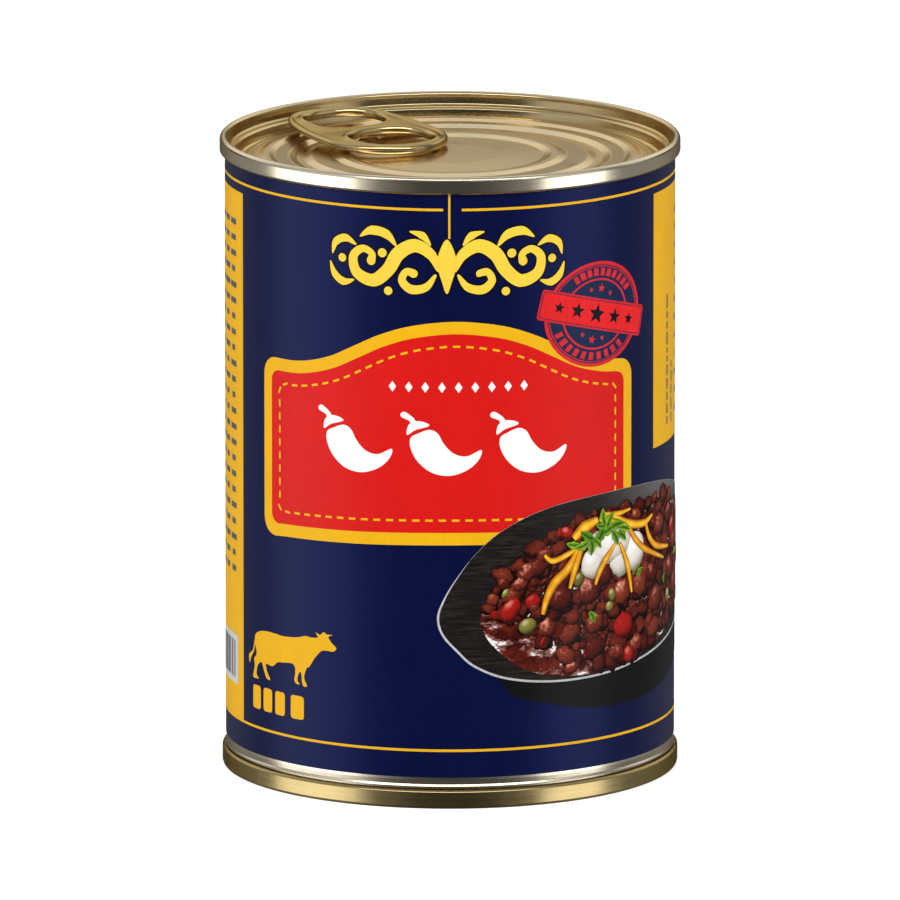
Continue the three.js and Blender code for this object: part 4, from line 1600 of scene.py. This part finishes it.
def make_topping():
    """Set morsels at the near side, then cream, grated cheese and herbs on top."""
    draw = random.Random(11)
    lumps = [((11.5, 36.8), 1.4, 1.2), ((18.4, 33.9), 2.5, 2.1), ((24.1, 34.4), 2.4, 2.4),
             ((27.5, 36.7), 1.6, 1.9), ((16.2, 29.2), 1.6, 1.7), ((20.4, 27.7), 2.3, 1.7),
             ((21.0, 30.4), 1.5, 1.2), ((12.8, 38.7), 1.9, 1.5), ((15.9, 41.4), 1.6, 1.3),
             ((7.0, 34.5), 1.0, 1.2), ((8.8, 37.0), 1.3, 1.0), ((25.4, 29.0), 1.9, 1.8),
             ((31.6, 33.2), 2.2, 2.4), ((36.4, 33.6), 2.0, 2.4), ((41.6, 30.3), 2.4, 2.2),
             ((41.0, 25.6), 2.4, 1.7), ((35.3, 24.0), 1.9, 1.6), ((25.2, 24.7), 2.2, 1.8),
             ((19.7, 24.2), 2.1, 1.5), ((30.3, 23.4), 1.9, 1.4), ((35.3, 45.4), 1.5, 1.0),
             ((43.0, 42.4), 2.0, 1.8), ((51.4, 38.1), 2.5, 2.0), ((18.4, 42.2), 1.6, 1.2),
             ((48.6, 34.1), 2.6, 2.0), ((14.6, 39.4), 1.7, 1.4), ((40.2, 35.0), 2.1, 1.6),
             ((52.0, 31.0), 2.4, 1.9), ((20.7, 22.2), 1.5, 1.0), ((55.5, 35.0), 2.2, 1.8),
             ((46.0, 39.0), 2.0, 1.6), ((47.4, 43.6), 1.9, 1.4), ((13.8, 33.0), 1.0, 0.8)]
    meat = [dome(spot, wide, high, draw.uniform(-40, 60), draw.random(), 0.14, 0.16,
                 draw.uniform(0.86, 1.06), draw) for spot, wide, high in lumps]
    form_piece("picture_meat_lumps", meat, "meat_print", 14)
    tomato = [dome((9.9, 32.6), 2.2, 1.5, 52, 0.2, lobes=0.10, draw=draw),
              dome((13.7, 33.8), 1.35, 1.25, 0, 0.1, lobes=0.08, draw=draw),
              dome((20.0, 44.6), 1.5, 0.9, -30, 0.2, lobes=0.12, draw=draw),
              dome((32.0, 27.6), 2.5, 2.2, 20, 0.2, 0.10, 0.14, 0.94, draw),
              dome((49.8, 41.0), 1.9, 1.4, 50, 0.1, lobes=0.16, draw=draw),
              dome((33.2, 22.6), 1.3, 1.5, 10, 0.2, lobes=0.16, draw=draw)]
    form_piece("picture_tomato_pieces", tomato, "tomato_print", 18)
    beans = [dome((12.8, 29.8), 1.6, 1.35, 20, 0.6),
             dome((22.1, 36.6), 0.95, 1.35, -20, 0.1),
             dome((29.1, 33.1), 0.85, 1.2, 20, 0.5), dome((47.0, 29.8), 1.0, 1.3, 10, 0.8),
             dome((35.3, 36.4), 1.5, 0.75, 38, 0.5), dome((9.0, 35.5), 0.5, 0.9, -30, 0.9),
             dome((28.5, 31.3), 0.9, 0.9, 40, 0.9), dome((54.0, 28.6), 1.1, 0.9, 30, 0.3)]
    form_piece("picture_bean_pieces", beans, "bean_print", 20)
    cream = [dome((25.0, 39.0), 2.5, 2.6, -14, 0.3, 0.16, 0.05, 1.08, draw),
             dome((31.0, 38.6), 2.5, 2.7, 14, 0.4, 0.17, 0.05, 1.06, draw),
             dome((34.6, 39.6), 2.9, 3.2, -8, 0.8, 0.2, 0.04, 1.14, draw),
             dome((29.0, 41.6), 5.4, 3.2, -4, 0.7, 0.22, 0.04, 1.12, draw)]
    form_piece("picture_cream", cream, "cream_print", 22)
    thick, thin = [0.5, 1.5, 1.6, 1.2, 0.7], [0.5, 1.05, 1.0, 0.5]
    routes = [([(20.9, 43.6), (23.1, 45.2), (25.8, 46.1)], [1.2, 2.2, 1.2]),
              ([(22.6, 42.4), (21.2, 38.6), (20.2, 35.4)], [1.2, 1.3, 0.5]),
              ([(15.6, 41.4), (17.1, 40.3), (20.0, 41.2), (21.9, 42.2)], thin),
              ([(21.9, 42.2), (20.0, 38.9), (17.4, 36.6), (16.0, 34.1), (15.3, 31.6)],
               thick),
              ([(27.2, 46.9), (30.3, 46.5), (33.3, 46.8)], [0.6, 1.0, 0.4]),
              ([(29.0, 46.4), (33.3, 44.3), (37.3, 43.8), (39.8, 44.7)],
               [0.7, 1.5, 1.3, 0.5]),
              ([(32.6, 44.2), (34.8, 41.4), (37.9, 39.2), (44.2, 36.7)],
               [0.7, 1.2, 1.1, 0.5]),
              ([(37.6, 43.9), (38.8, 41.2), (41.4, 39.2), (46.4, 38.2)],
               [0.6, 1.1, 1.2, 0.6]),
              ([(29.6, 41.6), (27.5, 39.4), (26.0, 37.3), (25.2, 35.4)],
               [0.6, 1.2, 1.1, 0.5]),
              ([(30.6, 41.6), (32.5, 37.7), (33.6, 32.9)], [0.6, 1.2, 0.5]),
              ([(26.0, 46.0), (29.6, 45.2), (32.2, 43.2)], [0.6, 1.1, 0.5])]
    cheese = [strand(route, widths, draw.random(), 0.10) for route, widths in routes]
    for index, form in enumerate(cheese):
        form[0][:] = [(x, y, z + index * 0.012) for x, y, z in form[0]]
    form_piece("picture_cheese", cheese, "cheese_print", 30)
    leaves = []
    for centre, turn, size in (((27.0, 46.4), 100, 2.3), ((28.3, 45.6), 60, 2.4),
                               ((29.8, 44.6), 10, 2.6), ((29.4, 42.6), -60, 2.2),
                               ((27.4, 44.2), 200, 2.3), ((25.9, 43.4), 235, 2.4),
                               ((23.6, 43.8), 150, 2.4), ((22.4, 42.4), 200, 2.1),
                               ((24.2, 41.8), 270, 2.1), ((25.4, 42.2), 320, 1.8),
                               ((31.6, 43.8), -15, 2.2), ((20.6, 42.8), 170, 1.8),
                               ((26.2, 45.2), 170, 1.6), ((31.0, 42.6), -40, 1.8),
                               ((24.3, 30.2), -60, 1.7), ((50.0, 36.6), 20, 1.5),
                               ((35.6, 36.0), 35, 1.4), ((44.0, 33.4), 70, 1.3)):
        spin = math.radians(turn)
        ahead = Vector((math.cos(spin), math.sin(spin)))
        side = Vector((-ahead.y, ahead.x)) * 0.25
        size *= 1.3
        start = Vector(centre) - ahead * size * 0.5
        route = [start, start + ahead * size * 0.45 + side, start + ahead * size]
        leaves.append(strand(route, [0.3, size * 0.62, 0.15], draw.random(), 0.08,
                             (0.55, 0.85, 0.35, 0.7, 0.95)))
    for index, form in enumerate(leaves):
        form[0][:] = [(x, y, z + index * 0.010) for x, y, z in form[0]]
    form_piece("picture_herbs", leaves, "herb_print", 44)


def make_back():
    """The back's ornament, field with a pepper, and rows of bars."""
    middle = -101.5
    ink = []
    for points, widths in ornament_strokes():
        for flip in (1, -1):
            line = stroke([(x * flip, y) for x, y in points], widths)
            ink.append([moved(line, (middle, 89.0), 0, (0.52, 0.62))])
    print_piece("back_ornament", ink, "pale_yellow_ink", 2)
    field = box_outline(middle - 9.5, 60.0, middle + 9.5, 78.0, 2.0)
    print_piece("back_border", [[field]], "yellow_ink", 1)
    print_piece("back_field", [[box_outline(middle - 8.4, 61.1, middle + 8.4, 76.9, 1.4)]],
                "red_ink", 2)
    groups = [[moved(loop, (middle, 68.0), 0, (1.0, 0.95)) for loop in group]
              for group in pepper()]
    print_piece("back_pepper", groups, "white_ink", 3)
    tree = bpy.data.node_groups["Bar Rows"]
    wrapped_piece("back_rows", line_mesh("back_rows", [(0, 0), (1, 0)], False), tree, {
        "Left": (middle - 8.0) * MM, "Top": 52.0 * MM, "Columns": 5, "Rows": 12,
        "Column Pitch": 4.0 * MM, "Row Pitch": 3.0 * MM, "Bar Height": 1.0 * MM,
        "Seed": 17}, "yellow_ink", 2)


# ---- studio -------------------------------------------------------------------------------
AIM_HEIGHT = 51.7 * MM
CAMERA_DOWN = 11.87             # degrees
CAMERA_DISTANCE = 3.5           # metres
FOCAL_LENGTH = 857.0
LIGHT_AIM = 0.05                # height on the tin at which the lights point


def make_camera():
    """The camera, level across and looking slightly down at the tin's front."""
    aim = Vector((0.0, 0.0, AIM_HEIGHT))
    down = math.radians(CAMERA_DOWN)
    lens = bpy.data.cameras.new("camera")
    lens.lens, lens.sensor_width, lens.clip_end = FOCAL_LENGTH, 36.0, 20.0
    camera = bpy.data.objects.new("camera", lens)
    bpy.context.scene.collection.objects.link(camera)
    camera.location = aim + CAMERA_DISTANCE * Vector((0, -math.cos(down), math.sin(down)))
    camera.rotation_euler = (math.pi / 2 - down, 0, 0)
    bpy.context.scene.camera = camera


def area_light(name, azimuth, height, distance, wide, high, power):
    """A soft rectangular light at an azimuth round the tin, aimed at it."""
    lamp = bpy.data.lights.new(name, "AREA")
    lamp.shape, lamp.size, lamp.size_y, lamp.energy = "RECTANGLE", wide, high, power
    light = bpy.data.objects.new(name, lamp)
    bpy.context.scene.collection.objects.link(light)
    angle = math.radians(azimuth)
    spot = Vector((distance * math.sin(angle), -distance * math.cos(angle), height))
    light.location = spot
    light.rotation_euler = (Vector((0, 0, LIGHT_AIM)) - spot).to_track_quat(
        "-Z", "Y").to_euler()
    light.visible_camera = False


def make_surround():
    """White to the eye; to the tin, a studio dark in front, with tall pale side screens.

    The screen behind the tin grows from dusk at its foot to white above."""
    world = bpy.data.worlds.new("surround")
    world.use_nodes = True
    tree = world.node_tree
    tree.nodes.clear()
    direction = add(tree, "ShaderNodeTexCoord").outputs["Generated"]
    parts = split(tree, direction)
    level = xyz(tree, parts[0], parts[1])
    heading = vector_calc(tree, {0: level}, operation="NORMALIZE")
    # the screen behind: dusk at its foot, white above, greyer again overhead
    behind = fit(tree, parts[1], -0.10, 0.55)
    rising = plus(tree, fit(tree, parts[2], 0.10, 0.31, 0.05, 0.95),
                  fit(tree, parts[2], 0.45, 0.80, 0.0, -0.32))
    total = times(tree, behind, rising)
    total = plus(tree, total, fit(tree, parts[2], 0.60, 0.95, 0.02, 0.30))
    # a faint glow from the table at both sides
    low = fit(tree, parts[2], 0.08, -0.06)
    aside = fit(tree, calc(tree, "ABSOLUTE", parts[0]), 0.2, 0.75, 0.04, 0.20)
    total = plus(tree, total, times(tree, low, aside))
    # the side screens: the azimuth of each and half its breadth, in degrees
    for azimuth, half in ((-68, 22), (68, 14)):
        angle = math.radians(azimuth)
        facing = add(tree, "ShaderNodeVectorMath",
                     {0: heading, 1: (math.sin(angle), -math.cos(angle), 0)},
                     operation="DOT_PRODUCT").outputs[1]
        screen = fit(tree, facing, math.cos(math.radians(half + 10)),
                     math.cos(math.radians(half - 8)))
        reach = times(tree, fit(tree, parts[2], -0.75, -0.35),
                      fit(tree, parts[2], 0.95, 0.55))
        total = plus(tree, total,
                     times(tree, times(tree, screen, reach),
                           bpy.context.scene.tin_studio.screens))
    seen = add(tree, "ShaderNodeLightPath").outputs["Is Camera Ray"]
    shown = add(tree, "ShaderNodeMix", {0: seen, 2: total, 3: 1.0},
                data_type="FLOAT").outputs[0]
    glow = add(tree, "ShaderNodeBackground", {"Color": (1, 1, 1, 1), "Strength": shown})
    final = tree.nodes.new("ShaderNodeOutputWorld")
    tree.links.new(glow.outputs[0], final.inputs[0])
    bpy.context.scene.world = world


def make_floor():
    """A plain pale floor."""
    tree, shader, place = new_finish("floor", Roughness=0.9)
    speck = noise(tree, place, 300.0, 2.0)
    tint = blend_colour(tree, fit(tree, speck, 0.3, 0.7), (0.93, 0.93, 0.93),
                        (0.96, 0.96, 0.96))
    feed(tree, shader.inputs, {"Base Color": tint, "Emission Color": tint})
    shader.inputs["Emission Strength"].default_value = 0.55
    work = bmesh.new()
    bmesh.ops.create_circle(work, cap_ends=True, segments=96, radius=6.0)
    floor = bpy.data.objects.new("floor", mesh_from(work, "floor", "floor"))
    floor.location.z = -0.02 * MM
    bpy.context.scene.collection.objects.link(floor)
    floor.visible_glossy = False
    floor.visible_shadow = False


def make_stage():
    """Camera, pale floor, surround and soft lights."""
    scene = bpy.context.scene
    scene.view_settings.view_transform = "Standard"
    make_camera()
    make_floor()
    make_surround()
    power = scene.tin_studio
    area_light("left_side_light", azimuth=-73, height=-0.13, distance=0.95, wide=0.88,
               high=0.50, power=power.sides * 1.2)
    area_light("right_side_light", azimuth=65, height=-0.13, distance=0.95, wide=0.62,
               high=0.50, power=power.sides * 0.85)
    area_light("key_light", azimuth=0, height=0.95, distance=0.80, wide=2.0, high=0.50,
               power=power.key)


# ---- operators, panel and registration -------------------------------------------------
class TIN_OT_stage(bpy.types.Operator):
    """Set up the camera, the floor and the lights"""
    bl_idname = "tin.stage"
    bl_label = "Studio"

    def execute(self, context):
        make_stage()
        return {"FINISHED"}


class TIN_OT_finishes(bpy.types.Operator):
    """Mix the metal, paper and ink finishes"""
    bl_idname = "tin.finishes"
    bl_label = "Finishes"

    def execute(self, context):
        make_finishes()
        return {"FINISHED"}


class TIN_OT_body(bpy.types.Operator):
    """Turn the tinplate body"""
    bl_idname = "tin.body"
    bl_label = "Body"

    def execute(self, context):
        make_body()
        return {"FINISHED"}


class TIN_OT_lid(bpy.types.Operator):
    """Turn the easy-open end"""
    bl_idname = "tin.lid"
    bl_label = "Easy-Open End"

    def execute(self, context):
        make_lid()
        return {"FINISHED"}


class TIN_OT_base(bpy.types.Operator):
    """Turn the plain end"""
    bl_idname = "tin.base"
    bl_label = "Plain End"

    def execute(self, context):
        make_base()
        return {"FINISHED"}


class TIN_OT_tab(bpy.types.Operator):
    """Form the ring tab and its rivet"""
    bl_idname = "tin.tab"
    bl_label = "Ring Tab"

    def execute(self, context):
        make_tab()
        return {"FINISHED"}


class TIN_OT_label(bpy.types.Operator):
    """Wrap the paper label"""
    bl_idname = "tin.label"
    bl_label = "Label Paper"

    def execute(self, context):
        make_label()
        return {"FINISHED"}


class TIN_OT_panels(bpy.types.Operator):
    """Print the gold lines and the side panels"""
    bl_idname = "tin.panels"
    bl_label = "Lines and Side Panels"

    def execute(self, context):
        make_lines()
        make_side_panels()
        return {"FINISHED"}


class TIN_OT_plaque(bpy.types.Operator):
    """Print the crested plaque and what is on it"""
    bl_idname = "tin.plaque"
    bl_label = "Plaque"

    def execute(self, context):
        make_plaque()
        make_white_shapes()
        return {"FINISHED"}


class TIN_OT_emblems(bpy.types.Operator):
    """Print the ornament, the stamp and the animal"""
    bl_idname = "tin.emblems"
    bl_label = "Ornament, Stamp and Animal"

    def execute(self, context):
        make_ornament()
        make_stamp()
        make_cow()
        return {"FINISHED"}


class TIN_OT_picture(bpy.types.Operator):
    """Print the pictured bowl of stew"""
    bl_idname = "tin.picture"
    bl_label = "Bowl Picture"

    def execute(self, context):
        make_plate()
        make_heap()
        make_topping()
        return {"FINISHED"}


class TIN_OT_back(bpy.types.Operator):
    """Print the back of the label"""
    bl_idname = "tin.back"
    bl_label = "Back of the Label"

    def execute(self, context):
        make_back()
        return {"FINISHED"}


STEPS = (TIN_OT_stage, TIN_OT_finishes, TIN_OT_body, TIN_OT_lid, TIN_OT_base, TIN_OT_tab,
         TIN_OT_label, TIN_OT_panels, TIN_OT_plaque, TIN_OT_emblems, TIN_OT_picture,
         TIN_OT_back)


class TIN_PT_sidebar(bpy.types.Panel):
    """Lists the tin's settings and steps"""
    bl_idname = "TIN_PT_sidebar"
    bl_label = "Ring-Pull Food Tin"
    bl_space_type = "VIEW_3D"
    bl_region_type = "UI"
    bl_category = "Tin"

    def draw(self, context):
        for group in (context.scene.tin_sizes, context.scene.tin_colours,
                      context.scene.tin_studio):
            column = self.layout.column(align=True)
            for key in group.__annotations__:
                column.prop(group, key)
        for step in STEPS:
            self.layout.operator(step.bl_idname)


GROUPS = (("tin_sizes", TinSizes), ("tin_colours", TinColours), ("tin_studio", TinStudio))


def register():
    for name, group in GROUPS:
        bpy.utils.register_class(group)
        setattr(bpy.types.Scene, name, PointerProperty(type=group))
    for step in STEPS:
        bpy.utils.register_class(step)
    bpy.utils.register_class(TIN_PT_sidebar)


def unregister():
    bpy.utils.unregister_class(TIN_PT_sidebar)
    for step in reversed(STEPS):
        bpy.utils.unregister_class(step)
    for name, group in reversed(GROUPS):
        delattr(bpy.types.Scene, name)
        bpy.utils.unregister_class(group)


def main():
    """Builds everything in order."""
    register()
    for step in STEPS:
        area, name = step.bl_idname.split(".")
        getattr(getattr(bpy.ops, area), name)()


if __name__ == "__main__":
    main()
